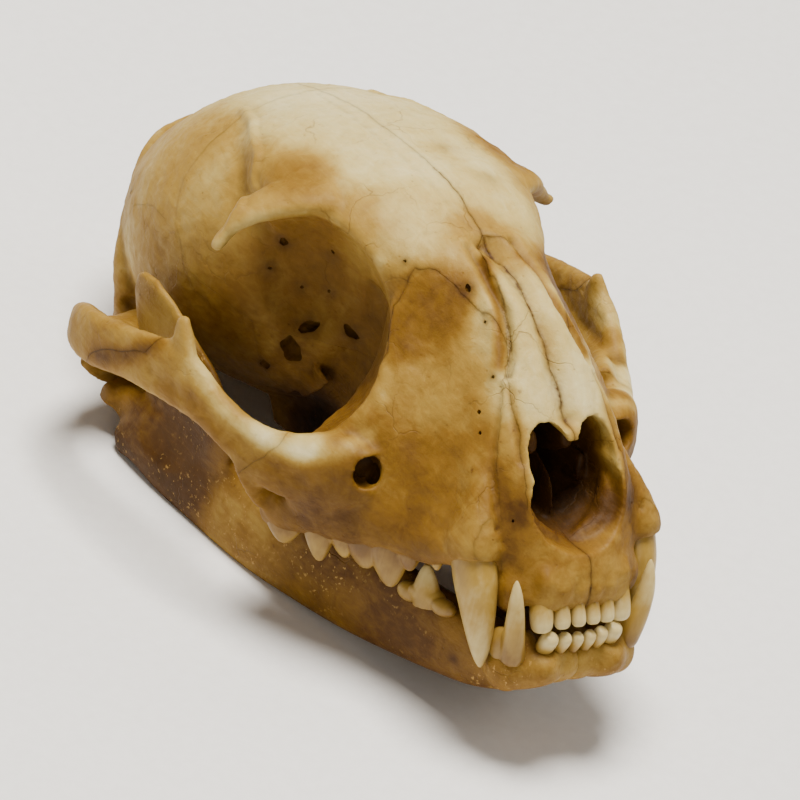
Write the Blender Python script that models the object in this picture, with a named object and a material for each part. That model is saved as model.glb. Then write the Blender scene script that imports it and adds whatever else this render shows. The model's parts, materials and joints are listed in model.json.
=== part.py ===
"""A life-size caracal skull with its lower jaw closed, resting on the jaw's lower border.

Forms are laid out in skull millimetres: x to the skull's left, y back from the upper
incisors, z up from the palate. The last step turns them to the resting pitch and to metres.
"""

import math

import bmesh
import bpy
import numpy as np
from mathutils import Matrix, Vector
from mathutils.bvhtree import BVHTree

voxelSize = 0.9        # skull millimetres between the points of the fused bone
cutGap = 0.3           # between two bones at a suture
craniumTriangles = 5500
jawTriangles = 1200
restPitch = -14.6      # degrees about x, nose up: the jaw's curve and rear corners touch the floor
footDepth = 0.35       # cut from the jaw where it touches the floor


def clearScene():
    for old in list(bpy.data.objects):
        bpy.data.objects.remove(old)


def eased(rows, spans):
    """Rows of numbers as rows on a smooth curve, with so many steps to each span."""
    rows = [np.array(row, float) for row in rows]
    first, last = 2 * rows[0] - rows[1], 2 * rows[-1] - rows[-2]
    held = [first, *rows, last]
    smooth = []
    for k in range(1, len(held) - 2):
        before, here, after, beyond = held[k - 1 : k + 3]
        for step in range(spans):
            t = step / spans
            smooth.append(
                0.5 * (2 * here + (after - before) * t
                       + (2 * before - 5 * here + 4 * after - beyond) * t * t
                       + (3 * here - before - 3 * after + beyond) * t ** 3)
            )
    smooth.append(rows[-1])
    return smooth


def power(value, exponent):
    return math.copysign(abs(value) ** exponent, value)


def loft(rings, sides):
    """A closed mesh through rings, each a function from an angle to a point."""
    bm = bmesh.new()
    turn = bm.verts.layers.float.new("turn")
    bmesh.ops.create_circle(bm, cap_ends=True, segments=sides, radius=1)
    for vert in bm.verts:
        vert[turn] = math.atan2(vert.co.y, vert.co.x)
    moved, edges = bm.verts[:], bm.edges[:]
    for index, ring in enumerate(rings):
        if index:
            made = bmesh.ops.extrude_edge_only(bm, edges=edges)["geom"]
            moved = [item for item in made if isinstance(item, bmesh.types.BMVert)]
            edges = [item for item in made if isinstance(item, bmesh.types.BMEdge)]
        for vert in moved:
            vert.co = ring(vert[turn])
    bmesh.ops.contextual_create(bm, geom=edges)
    bmesh.ops.recalc_face_normals(bm, faces=bm.faces)
    return bm


def trunk(rows, spans=4, sides=32):
    """A symmetrical form along y.

    A row holds y, half width, z of the widest point, top, bottom, and the top's and bottom's power.
    """

    def section(row):
        y, half, wide, top, bottom, topPower, bottomPower = row

        def point(angle):
            across, up = math.cos(angle), math.sin(angle)
            bend = topPower if up > 0 else bottomPower
            reach = top - wide if up > 0 else wide - bottom
            height = wide + reach * power(up, 2 / bend)
            return Vector((half * power(across, 2 / bend), y, height))

        return point

    return loft([section(row) for row in eased(rows, spans)], sides)


def limb(rows, up=(0, 0, 1), spans=4, sides=16, bend=2):
    """A bent form through rows of x, y, z, half thickness and half height, its height turned towards up."""
    rows = eased(rows, spans)
    points = [Vector(row[:3]) for row in rows]
    up = Vector(up)

    def section(index):
        ahead = points[min(index + 1, len(points) - 1)] - points[max(index - 1, 0)]
        side = ahead.cross(up).normalized()
        rise = side.cross(ahead).normalized()
        thick, high = rows[index][3:5]
        return lambda angle: (points[index] + side * thick * power(math.cos(angle), 2 / bend)
                              + rise * high * power(math.sin(angle), 2 / bend))

    return loft([section(index) for index in range(len(rows))], sides)


def hull(rows, spans=4, sides=40):
    """A loft along y through rows of y, top z, four x z corners down the left side, and bottom z."""
    def section(row):
        y, top, *corners, bottom = row
        left = np.array([(0, bottom), *list(zip(corners[::2], corners[1::2]))[::-1], (0, top)])
        ring = np.concatenate([left, left[-2:0:-1] * (-1, 1)])

        def point(angle):
            at = (angle / math.tau + 0.25) % 1 * len(ring)
            k, t = int(at), at % 1
            before, here, after, beyond = (ring[(k + step) % len(ring)] for step in (-1, 0, 1, 2))
            x, z = 0.5 * (2 * here + (after - before) * t
                          + (2 * before - 5 * here + 4 * after - beyond) * t * t
                          + (3 * here - before - 3 * after + beyond) * t ** 3)
            return Vector((x, y, z))

        return point

    return loft([section(row) for row in eased(rows, spans)], sides)


def blob(centre, radii, turn=(0, 0, 0), detail=3):
    bm = bmesh.new()
    spin = Matrix.Rotation(math.radians(turn[2]), 4, "Z") @ Matrix.Rotation(
        math.radians(turn[1]), 4, "Y") @ Matrix.Rotation(math.radians(turn[0]), 4, "X")
    place = Matrix.Translation(centre) @ spin @ Matrix.Diagonal((*radii, 1))
    bmesh.ops.create_icosphere(bm, subdivisions=detail, radius=1, matrix=place)
    return bm


def block(low, high):
    bm = bmesh.new()
    low, high = Vector(low), Vector(high)
    place = Matrix.Translation((low + high) / 2) @ Matrix.Diagonal((*(high - low), 1))
    bmesh.ops.create_cube(bm, size=1, matrix=place)
    return bm


def mirrored(bm):
    """The same form on the skull's right."""
    other = bm.copy()
    bmesh.ops.scale(other, vec=(-1, 1, 1), verts=other.verts)
    bmesh.ops.reverse_faces(other, faces=other.faces)
    return other


def paired(forms):
    return [side for form in forms for side in (form, mirrored(form))]


def sheet(path, other):
    """A closed sheet as thick as a suture, between two paths of as many points."""
    bm = bmesh.new()
    bmesh.ops.create_grid(bm, x_segments=len(path) - 1, y_segments=1, size=1)
    for vert in bm.verts:
        side = path if vert.co.y < 0 else other
        vert.co = side[round((vert.co.x + 1) / 2 * (len(path) - 1))]
    bm.normal_update()
    for vert in bm.verts:
        vert.co += vert.normal * cutGap / 2
    bmesh.ops.solidify(bm, geom=bm.faces[:], thickness=cutGap)
    bmesh.ops.recalc_face_normals(bm, faces=bm.faces)
    return bm


def asObject(bm, name, collection=None):
    mesh = bpy.data.meshes.new(name)
    bm.to_mesh(mesh)
    bm.free()
    made = bpy.data.objects.new(name, mesh)
    (collection or bpy.context.scene.collection).objects.link(made)
    return made


def joined(forms, name, collection=None):
    whole = bpy.data.meshes.new(name)
    bm = bmesh.new()
    for form in forms:
        form.to_mesh(whole)
        bm.from_mesh(whole)
        form.free()
    bpy.data.meshes.remove(whole)
    return asObject(bm, name, collection)


def applied(made):
    """The object with its modifiers made real."""
    graph = bpy.context.evaluated_depsgraph_get()
    graph.update()
    mesh = bpy.data.meshes.new_from_object(made.evaluated_get(graph))
    made.modifiers.clear()
    made.data = mesh
    return made


def fused(made, voxel=voxelSize, rounds=4, factor=0.5):
    remesh = made.modifiers.new("fuse", "REMESH")
    remesh.mode = "VOXEL"
    remesh.voxel_size = voxel
    smooth = made.modifiers.new("soften", "SMOOTH")
    smooth.factor = factor
    smooth.iterations = rounds
    return applied(made)


def thinned(made, triangles):
    """The object with about so many triangles, closest where it bends most."""
    count = sum(len(face.vertices) - 2 for face in made.data.polygons)
    fewer = made.modifiers.new("thin", "DECIMATE")
    fewer.ratio = triangles / count
    return applied(made)


def largestPiece(made):
    """The object with only its largest closed surface."""
    pieces = looseParts(made)
    keep = max(pieces, key=lambda piece: piece.calc_volume())
    keep.to_mesh(made.data)
    for piece in pieces:
        piece.free()
    return made


def looseParts(made):
    """A mesh for each closed surface of the object."""
    bm = bmesh.new()
    bm.from_mesh(made.data)
    left, parts = set(bm.verts), []
    while left:
        reached, edge = set(), [left.pop()]
        while edge:
            vert = edge.pop()
            reached.add(vert)
            for link in vert.link_edges:
                other = link.other_vert(vert)
                if other in left:
                    left.remove(other)
                    edge.append(other)
        part = bm.copy()
        part.verts.ensure_lookup_table()
        indices = {vert.index for vert in reached}
        bmesh.ops.delete(part, geom=[vert for vert in part.verts if vert.index not in indices])
        parts.append(part)
    bm.free()
    return parts


def withForms(made, forms, operation, solver="MANIFOLD"):
    """The object after one Boolean with a collection of closed forms."""
    tools = bpy.data.collections.new("tools")
    bpy.context.scene.collection.children.link(tools)
    for index, form in enumerate(forms):
        asObject(form, f"tool{index}", tools)
    change = made.modifiers.new("change", "BOOLEAN")
    change.operand_type = "COLLECTION"
    change.collection = tools
    change.operation = operation
    change.solver = solver
    applied(made)
    for tool in list(tools.objects):
        bpy.data.objects.remove(tool)
    bpy.data.collections.remove(tools)
    return made


# The cranium


def braincase():
    return trunk([
        # y, half width, wide z, top, bottom, top power, bottom power
        (56, 12.0, 30, 44.0, 18.0, 2.0, 2.0),
        (62, 16.5, 31, 46.5, 11.0, 2.2, 2.4),
        (69, 20.0, 31, 49.3, 6.0, 2.2, 2.6),
        (77, 23.4, 30, 51.0, 2.8, 2.2, 2.6),
        (86, 25.8, 28, 51.6, 1.8, 2.1, 2.6),
        (95, 26.2, 26, 50.2, 2.0, 2.1, 2.6),
        (104, 24.2, 25, 46.6, 3.5, 2.1, 2.4),
        (112, 20.4, 23, 41.0, 5.0, 2.1, 2.4),
        (118, 16.0, 21, 36.8, 6.0, 2.1, 2.4),
        (122, 10.0, 20, 32.5, 8.0, 2.1, 2.4),
    ])


def forehead():
    return trunk([
        (30, 7.0, 34.0, 42.0, 26.0, 2.4, 2.0),
        (34, 9.0, 35.0, 43.6, 26.0, 2.4, 2.0),
        (38, 11.2, 36.0, 44.6, 27.0, 2.4, 2.0),
        (42, 13.6, 37.0, 45.7, 28.0, 2.4, 2.0),
        (46, 15.8, 38.5, 47.3, 29.0, 2.4, 2.0),
        (50, 17.6, 40.0, 49.2, 31.0, 2.4, 2.0),
        (54, 19.0, 40.5, 50.3, 32.0, 2.4, 2.0),
        (58, 20.8, 41.0, 50.8, 33.0, 2.3, 2.0),
        (64, 24.0, 40.5, 51.4, 34.0, 2.3, 2.0),
        (70, 23.4, 41.5, 52.0, 34.0, 2.4, 2.0),
        (77, 21.6, 43.0, 52.2, 35.0, 2.4, 2.0),
        (84, 19.6, 44.0, 51.7, 36.0, 2.3, 2.0),
        (92, 16.0, 44.5, 50.0, 38.0, 2.2, 2.0),
    ])


def rostrum():
    return hull([
        (1.5, 3.2, 4.6, 2.6, 7.0, 1.0, 7.8, -1.0, 7.2, -2.8, -3.2),
        (4.5, 9.0, 5.2, 7.8, 8.2, 5.0, 9.8, 1.6, 9.6, -2.4, -2.8),
        (8.5, 18.6, 8.4, 17.0, 11.0, 12.0, 13.0, 5.0, 13.4, -0.4, -1.0),
        (12.0, 24.4, 9.4, 21.2, 12.6, 15.0, 16.0, 7.0, 17.4, 0.6, 0.4),
        (16.0, 30.0, 8.7, 27.0, 12.8, 19.0, 17.4, 8.0, 18.6, 0.4, 0.6),
        (20.5, 35.3, 7.7, 31.9, 12.8, 22.5, 18.2, 9.0, 19.2, 0.2, 0.6),
        (25.5, 39.8, 6.2, 36.9, 13.0, 26.0, 20.0, 11.0, 21.0, 0.2, 0.8),
        (31.0, 42.6, 6.4, 40.3, 13.6, 30.0, 23.0, 13.6, 24.4, 0.2, 0.8),
        (37.0, 44.4, 8.0, 42.2, 15.0, 33.0, 26.0, 16.0, 28.6, 0.6, 1.0),
        (43.0, 45.8, 10.0, 43.6, 15.6, 34.0, 26.4, 17.0, 29.8, 1.4, 1.4),
        (49.0, 40.0, 8.0, 36.0, 13.0, 28.0, 20.0, 14.0, 22.0, 5.0, 4.0),
    ])


def toothRidge():
    """The maxilla's outer edge, which the cheek teeth grow from."""
    return limb([
        (17.6, 19.0, 2.6, 2.2, 3.2),
        (20.2, 26.5, 2.0, 2.6, 3.4),
        (24.2, 34.0, 1.6, 2.9, 3.4),
        (27.4, 41.0, 1.4, 2.9, 3.4),
        (29.3, 47.0, 1.4, 2.4, 3.2),
        (29.8, 50.0, 2.0, 1.6, 2.4),
    ])


def cheekBlade():
    """The thin rear edge of the cheek, from the arch down to the last tooth."""
    return limb([
        (36.6, 47.4, 8.0, 2.0, 1.6),
        (34.4, 46.8, 4.0, 2.4, 1.3),
        (31.0, 47.8, 0.8, 2.6, 1.2),
    ], up=(0, 1, 0))


def orbitWall():
    return trunk([
        (38, 12.0, 24, 44.0, 2.5, 4.0, 4.0),
        (46, 10.5, 24, 45.0, 2.5, 4.0, 4.0),
        (54, 10.0, 24, 46.0, 3.0, 4.0, 4.0),
        (62, 11.5, 24, 46.0, 4.0, 4.0, 3.0),
        (70, 13.0, 24, 46.0, 4.0, 3.0, 3.0),
    ])


def palate():
    return trunk([
        (30, 15.0, 4.0, 8.0, 1.6, 4.0, 6.0),
        (40, 15.5, 4.0, 8.0, 1.6, 4.0, 6.0),
        (50, 11.5, 4.5, 8.0, 2.0, 4.0, 6.0),
        (58, 8.5, 7.0, 10.0, 4.5, 4.0, 4.0),
        (70, 8.0, 8.0, 12.0, 5.5, 4.0, 4.0),
        (80, 12.0, 7.0, 13.0, 2.0, 3.0, 4.0),
        (96, 12.0, 7.0, 14.0, 2.0, 3.0, 4.0),
        (114, 8.0, 8.0, 14.0, 5.0, 3.0, 3.0),
    ])


def pterygoid():
    return limb([
        (7.8, 54.0, 5.5, 1.4, 3.2),
        (7.4, 62.0, 5.4, 0.9, 3.2),
        (7.0, 70.0, 4.8, 0.8, 3.8),
        (7.0, 77.0, 3.4, 0.8, 4.0),
        (7.4, 81.0, 1.0, 0.8, 2.4),
    ])


def cheekArch():
    """The zygomatic arch, from the maxilla's root round to the glenoid shelf."""
    return limb([
        # x, y, z, half thickness, half height
        (22.5, 31.0, 10.5, 3.2, 4.5),
        (26.4, 35.5, 10.0, 4.5, 6.5),
        (31.2, 41.0, 9.2, 3.4, 5.6),
        (34.8, 45.5, 10.0, 2.6, 4.8),
        (37.4, 50.0, 12.2, 2.1, 3.8),
        (39.3, 54.5, 14.6, 2.0, 3.8),
        (40.8, 59.5, 16.8, 1.9, 4.8),
        (41.8, 64.0, 17.4, 1.9, 5.2),
        (42.8, 69.0, 17.4, 1.9, 4.8),
        (43.6, 75.0, 16.8, 2.0, 4.4),
        (43.8, 82.0, 15.8, 2.0, 4.6),
        (42.8, 87.6, 15.2, 2.1, 4.4),
        (39.8, 91.8, 13.6, 2.6, 3.8),
        (34.0, 94.8, 10.2, 4.0, 3.0),
        (27.5, 96.4, 8.4, 5.4, 3.0),
        (20.0, 96.6, 8.4, 6.0, 3.6),
    ], bend=2.6)


def jugalHorn(top):
    """The process under the orbit's rear, whose tip is worn to a height of its own on each side."""
    return limb([
        (41.0, 60.8, 17.0, 1.9, 5.0),
        (41.0, 61.8, top - 6.2, 1.6, 3.4),
        (41.0, 62.6, top - 2.6, 1.3, 2.2),
        (41.0, 63.0, top, 0.8, 1.2),
    ], up=(0, -1, 0.2))


def leftBrowHorn():
    return limb([
        (16.0, 62.0, 45.2, 6.5, 3.0),
        (21.0, 63.4, 43.8, 5.6, 2.5),
        (25.0, 65.4, 41.6, 3.8, 1.9),
        (29.2, 67.2, 38.9, 2.2, 1.5),
        (32.4, 67.9, 36.6, 1.1, 1.0),
    ])


def rightBrowHorn():
    """As if it were on the left. It stands higher than the left one."""
    return limb([
        (16.0, 62.5, 46.0, 6.5, 2.9),
        (22.0, 64.6, 45.0, 5.2, 2.4),
        (27.0, 66.2, 43.1, 3.7, 2.0),
        (30.8, 67.5, 40.2, 2.4, 1.5),
        (33.0, 68.2, 36.3, 1.2, 1.0),
    ])


def canineRoot():
    return limb([
        (15.6, 12.4, 0.8, 4.3, 5.2),
        (15.2, 13.0, 5.0, 4.1, 5.2),
        (13.6, 15.0, 11.0, 3.2, 4.5),
        (11.8, 18.0, 17.0, 2.2, 3.2),
    ], up=(0, 1, 0))


def glenoid():
    """The shelf that the lower jaw hangs from, with the process behind it."""
    return [
        limb([(19.0, 96.5, 6.5, 5.0, 4.0), (27.0, 96.0, 6.8, 5.0, 4.4), (34.0, 94.4, 7.8, 3.4, 3.2)]),
        limb([(20.5, 99.6, 2.5, 1.7, 4.0), (27.0, 99.6, 2.6, 1.7, 4.2), (33.5, 98.6, 6.0, 1.5, 3.4)]),
    ]


def bulla():
    return blob((14.0, 103.0, 3.5), (7.6, 12.0, 7.5), (0, 0, 14))


def occiputCondyle():
    return blob((7.0, 119.5, 10.0), (4.2, 4.6, 6.0), (0, 0, 25))


def earRidge():
    """Mastoid and the flank of the nuchal crest."""
    return limb([
        (0.0, 122.6, 33.0, 1.6, 2.2),
        (9.0, 120.3, 30.5, 1.5, 2.4),
        (15.4, 115.6, 24.0, 1.6, 2.4),
        (19.2, 111.0, 16.0, 2.0, 2.8),
        (20.2, 107.6, 8.5, 2.6, 3.0),
        (19.0, 109.4, 3.0, 2.4, 2.4),
    ], up=(0, 1, 0.3))


def orbitCutters():
    return [blob((28.5, 54.5, 28.3), (17.5, 19.0, 18.3)),
            blob((29.5, 48.8, 25.0), (15.0, 14.0, 13.0))]


def noseCutters():
    """The nasal cavity, and a lobe of it under each nasal bone."""
    middle = limb([
        (0, -6.0, 11.6, 8.4, 5.6),
        (0, 4.0, 13.0, 9.0, 7.2),
        (0, 12.0, 14.6, 8.6, 7.6),
        (0, 22.0, 16.6, 7.0, 7.5),
        (0, 34.0, 17.0, 5.5, 6.5),
    ], sides=24)
    lobe = limb([
        (5.0, -4.0, 18.4, 4.4, 6.4),
        (4.7, 6.0, 19.6, 4.2, 6.0),
        (4.2, 14.0, 20.0, 3.7, 5.0),
        (3.4, 24.0, 20.4, 3.0, 4.6),
    ], sides=20)
    return [middle, *paired([lobe])]


def palateCutter():
    return blob((0, 30, -3.0), (14.5, 30.0, 5.6))


def condyleCutter():
    return limb([
        (18.0, 94.6, -0.8, 3.4, 3.4),
        (27.0, 95.2, -0.8, 3.6, 3.6),
        (38.0, 95.4, -0.6, 3.4, 3.4),
    ], sides=20)


def cranium():
    whole = joined([braincase(), forehead(), rostrum(), orbitWall(), palate()], "cranium")
    fused(whole, rounds=1)
    withForms(whole, paired(orbitCutters()), "DIFFERENCE")
    forms = paired([cheekArch(), canineRoot(), toothRidge(), cheekBlade(), pterygoid(),
                    *glenoid(), bulla(), occiputCondyle(), earRidge()])
    forms += [leftBrowHorn(), mirrored(rightBrowHorn())]
    forms += [jugalHorn(24.8), mirrored(jugalHorn(27.4))]
    core = bmesh.new()
    core.from_mesh(whole.data)
    bpy.data.objects.remove(whole)
    whole = fused(joined([core, *forms], "cranium"), rounds=2)
    cutters = [*noseCutters(), palateCutter(), blob((0, 125, 13), (6.5, 8.5, 6.0))]
    cutters += paired([condyleCutter(), blob((25, 105.5, 9.5), (5.0, 2.2, 2.2)),
                       blob((24.5, 31.6, 11.6), (2.4, 4.0, 2.8), (0, 0, 30))])
    withForms(whole, cutters, "DIFFERENCE")
    fused(whole, rounds=3)
    return thinned(whole, craniumTriangles)


# The sutures


def sideways(rows, x):
    """Points at one x through rows of y and z."""
    return [(x, y, z) for y, z in rows]


def acrossMiddle(rows, z):
    """A path at one height from the skull's right to its left, through rows of x and y of the left half."""
    half = [(x, y, z) for x, y in rows]
    return [(-x, y, z) for x, y, z in reversed(half) if x > 0] + half


def swept(path, way, depth):
    """A sheet from a path, swept by depth one way."""
    return sheet(path, [tuple(Vector(point) + Vector(way).normalized() * depth) for point in path])


def spanning(path):
    """A sheet from a path on the skull's left to the same on its right."""
    return sheet(path, [(-x, y, z) for x, y, z in path])


def sutures():
    """Thin sheets that part the cranium into its bones."""
    up, left = (0, 0, 1), (1, 0, 0)
    middle = [
        swept([(0, -6, -8), (0, 57.4, -8)], up, 70),
        swept([(0, 56, 19.3), (0, 119.2, 19.3)], up, 40),
    ]
    vaultFloor = [
        spanning([(6.6, 23.0, 31.2), (7.9, 26.8, 31.4), (9.0, 30.4, 32.6), (11.0, 36.0, 33.4),
                  (11.0, 36.3, 20.0), (24, 36.8, 20), (24, 72.8, 20)]),
        swept([(-14.8, 71.4, 20), (14.8, 71.4, 20)], (0, 1, 0), 45.6),
    ]
    palateRear = [swept([(-24, 57, -8), (24, 57, -8)], up, 28.8)]
    nasalFloor = [
        spanning([(11.6, 0, 15.0), (10.6, 8, 16.0), (9.9, 12, 18.8), (9.5, 16, 23.8), (8.8, 20, 28.4),
                  (7.2, 23.6, 31.6), (5.7, 27, 34.5), (5.1, 30, 36), (4.8, 34, 38), (3.4, 39.6, 39.5),
                  (0.6, 44, 40.5)]),
    ]
    lambdoid = [
        swept(sideways([
            (118.5, 60), (118.2, 46), (116.5, 36), (115, 26), (114.5, 16), (116, 9), (116.4, -9),
        ], -40), left, 80),
    ]
    coronal = [
        swept(sideways([
            (90, 60), (91.4, 47), (92.3, 40), (91.5, 35.5), (89.2, 31), (86.4, 25.5), (84, 22),
            (78.4, 19.2),
        ], -36), left, 72),
    ]
    frontal = [
        swept(acrossMiddle([
            (0, 42), (2.4, 39.6), (4.0, 33.4), (4.4, 29.5), (5.0, 27.0), (5.9, 25.0), (7.2, 27.6),
            (8.0, 30.8), (8.8, 34.0), (10.6, 37.4), (13.0, 39.9), (15.4, 40.5), (17.0, 38.4),
            (18.6, 37.2), (21.5, 38.0), (25, 40), (30, 50),
        ], 19.0), up, 45),
    ]
    nasalSide = [
        (5.9, 27.0, 13), (6.9, 21.9, 13), (7.9, 19.9, 13), (8.7, 16.5, 13), (9.1, 13.7, 13),
        (9.5, 10.8, 13), (10.0, 4.0, 13),
    ]
    premaxillaRear = [(22.2, 34.6), (21.2, 32.8), (20.1, 31), (17.5, 26), (16.5, 24.2)]
    incisive = [
        swept(sideways([
            (17.1, 25.3), (15.3, 22), (13.9, 19), (12.4, 16), (9.7, 10.4), (8.2, 4.6), (7.4, -8),
        ], -26), left, 52),
    ]
    squamosal = [
        (72, -9), (72, 20), (76, 22), (84, 24), (90, 30), (96, 31), (104, 28), (111, 21), (116.0, 15),
    ]
    cheek = [(20.6, 46.2, 24), (23.6, 49.2, 13), (27.1, 54.2, 6), (28.1, 55.7, 2)]
    arch = [
        (84.5, 9), (81.4, 13.1), (80, 14.7), (76.4, 16.6), (71.7, 18), (67.7, 19.6), (66, 22.1),
        (65.4, 32),
    ]
    sides = [
        swept(nasalSide, up, 40),
        swept(sideways(premaxillaRear, 6.6), left, 20),
        swept(sideways(squamosal, 13.2), left, 21),
        swept([(14, 71.3, -9), (14, 117.4, -9)], up, 41.5),
        swept(cheek, (0.84, -0.54, 0), 20),
        swept(sideways(arch, 37), left, 14),
    ]
    across = [vaultFloor, palateRear, nasalFloor, lambdoid, coronal, frontal, incisive]
    return [*middle, *(form for group in across for form in group), *paired(sides)]


# The lower jaw


def jawBody():
    return limb([
        # x, y, z, half thickness, half height
        (3.4, 1.8, -12.2, 3.6, 2.2),
        (5.4, 4.2, -12.9, 4.9, 3.6),
        (7.4, 8.5, -13.8, 4.6, 4.9),
        (9.8, 14.0, -14.2, 3.9, 6.2),
        (12.0, 20.0, -14.1, 3.4, 6.8),
        (15.0, 30.0, -14.3, 3.3, 6.8),
        (18.0, 40.0, -13.5, 3.4, 7.2),
        (21.4, 50.0, -12.2, 3.2, 6.8),
        (24.6, 60.0, -9.9, 2.7, 7.4),
        (27.2, 70.0, -7.2, 2.2, 7.4),
        (29.4, 80.0, -5.2, 2.0, 6.6),
        (30.2, 86.5, -5.6, 1.9, 4.4),
        (30.6, 91.0, -7.4, 1.5, 2.2),
    ], bend=2.4)


def jawRamus():
    """The rising plate of the lower jaw and its coronoid process."""
    return limb([
        # x, y, z, half thickness, half length
        (27.4, 73.0, -6.0, 2.4, 10.0),
        (27.6, 74.5, -1.0, 2.2, 13.0),
        (28.0, 77.0, 4.0, 1.9, 12.0),
        (28.4, 81.5, 10.0, 1.5, 9.6),
        (29.2, 85.0, 15.0, 1.3, 8.0),
        (30.0, 87.0, 19.0, 1.1, 6.2),
        (30.6, 87.6, 21.6, 0.9, 4.4),
        (30.8, 87.6, 23.0, 0.6, 2.6),
    ], up=(0, 1, 0), bend=2.4)


def jawCondyle():
    return limb([
        (21.0, 94.0, -0.6, 1.6, 1.6),
        (24.5, 94.4, -0.8, 2.4, 2.4),
        (29.0, 94.6, -0.8, 2.6, 2.6),
        (32.2, 94.6, -0.6, 1.7, 1.7),
    ], sides=14)


def condyleNeck():
    return limb([
        (29.0, 84.0, -3.0, 2.2, 4.5),
        (29.0, 90.0, -2.0, 2.0, 3.6),
        (29.0, 95.0, -1.0, 2.0, 2.4),
    ])


def chin():
    """The front of the jaw half, which meets its fellow in the middle."""
    return limb([
        (2.0, 2.6, -11.6, 3.6, 1.9),
        (2.0, 3.8, -13.0, 3.6, 3.0),
        (2.0, 7.5, -15.0, 3.4, 3.0),
        (2.0, 12.5, -17.0, 2.8, 2.2),
    ], up=(0, -0.4, 1))


def canineSocket():
    return blob((10.4, 6.8, -13.0), (3.0, 4.0, 4.6))


def masseterCutter():
    return blob((34.5, 76.0, -0.5), (5.2, 13.0, 9.0), (0, 0, -8))


def jaw():
    """The left half of the lower jaw, which meets the other at the chin."""
    forms = [jawBody(), jawRamus(), jawCondyle(), condyleNeck(), canineSocket(), chin()]
    half = fused(joined(forms, "jaw"), rounds=2)
    withForms(half, [masseterCutter()], "DIFFERENCE")
    fused(half, rounds=1)
    thinned(half, jawTriangles)
    return withForms(half, [block((-20, -20, -40), (cutGap / 2, 40, 10))], "DIFFERENCE")


# The teeth: base point, tip, half thickness across the row, half length along it


pointed = [(-0.5, 0.9), (0, 1.0), (0.5, 0.78), (1.0, 0.12)]
chisel = [(-0.5, 0.8), (0, 0.9), (0.5, 1.0), (1.0, 0.55)]
fang = [(-0.3, 0.92), (0, 1.0), (0.35, 0.9), (0.7, 0.62), (0.92, 0.3), (1.0, 0.08)]


def tooth(base, tip, thick, length, along, profile=pointed, sides=6, curve=(0, 0, 0)):
    """A cusp as a cone with a root sunk behind its base, through places and sizes on the way to the tip."""
    base, tip, curve = Vector(base), Vector(tip), Vector(curve)
    rows = []
    for t, size in profile:
        at = base.lerp(tip, t) + curve * max(0, 4 * t * (1 - t))
        rows.append((*at, thick * size, length * size))
    return limb(rows, up=along, spans=1, sides=sides)


cheekRow = (0.42, 0.91, 0)
jawRow = (0.34, 0.94, 0)

upperFront = {
    "first incisor": ((1.45, 2.0, -1.2), (1.4, 0.9, -5.7), 1.4, 1.2),
    "second incisor": ((4.3, 2.4, -1.2), (4.35, 1.2, -5.9), 1.6, 1.4),
    "third incisor": ((7.5, 3.6, -0.9), (7.6, 2.2, -6.4), 1.9, 1.8),
}
upperCheek = {
    "second premolar": [((17.3, 19.8, 1.2), (17.0, 19.4, -1.4), 1.0, 1.1)],
    "third premolar": [((20.6, 27.5, -0.4), (20.1, 27.0, -6.9), 2.0, 3.4),
                       ((18.9, 23.6, -0.2), (18.7, 23.3, -2.6), 1.5, 1.9),
                       ((22.7, 32.0, -0.4), (22.5, 32.0, -3.6), 1.7, 2.2)],
    "fourth premolar": [((26.4, 38.6, -0.6), (26.0, 38.0, -7.0), 2.2, 3.6),
                        ((24.4, 34.6, -0.4), (24.0, 34.4, -3.9), 1.8, 2.0),
                        ((29.2, 45.4, -0.6), (29.0, 46.0, -5.6), 1.9, 4.4)],
    "first molar": [((26.2, 51.2, 0.6), (26.2, 51.4, -1.6), 1.1, 1.4)],
}
lowerFront = {
    "first incisor": ((1.3, 1.6, -10.6), (1.2, 0.6, -6.8), 1.2, 0.95),
    "second incisor": ((3.6, 1.9, -10.6), (3.5, 0.8, -6.8), 1.3, 1.1),
    "third incisor": ((6.2, 2.7, -10.6), (6.2, 1.3, -6.8), 1.5, 1.4),
}
lowerCheek = {
    "third premolar": [((15.6, 22.0, -9.2), (16.0, 22.6, -3.6), 1.5, 2.9),
                       ((14.6, 18.4, -9.4), (14.5, 18.0, -7.0), 1.2, 1.4),
                       ((16.6, 25.8, -9.2), (16.8, 26.0, -6.8), 1.3, 1.6)],
    "fourth premolar": [((17.8, 32.6, -8.8), (17.8, 32.8, -2.2), 1.6, 3.2),
                        ((16.9, 29.2, -9.0), (16.9, 29.0, -6.0), 1.3, 1.6),
                        ((19.0, 36.6, -8.8), (19.0, 36.8, -5.2), 1.5, 1.9)],
    "first molar": [((20.6, 42.0, -8.4), (20.8, 41.6, -2.6), 1.7, 3.6),
                    ((22.2, 47.6, -8.0), (22.4, 48.2, -1.8), 1.7, 3.8)],
}


def upperCanine():
    base, tip = (15.6, 12.2, 2.0), (14.4, 8.2, -14.0)
    return tooth(base, tip, 3.4, 4.2, (0, 1, 0), fang, 10, (0.3, -0.5, 0))


def lowerCanine():
    base, tip = (11.0, 6.0, -10.6), (13.1, 3.6, 3.1)
    return tooth(base, tip, 2.6, 3.0, (0, 1, 0), fang, 10, (0.3, -0.7, 0))


def frontTeeth(sizes):
    return [tooth(*size, (1, 0, 0), chisel) for size in sizes.values()]


def cheekTeeth(sizes, row):
    return [tooth(*cusp, row) for cusps in sizes.values() for cusp in cusps]


# The bones: a point inside each, on the skull's left, and its colour

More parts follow.
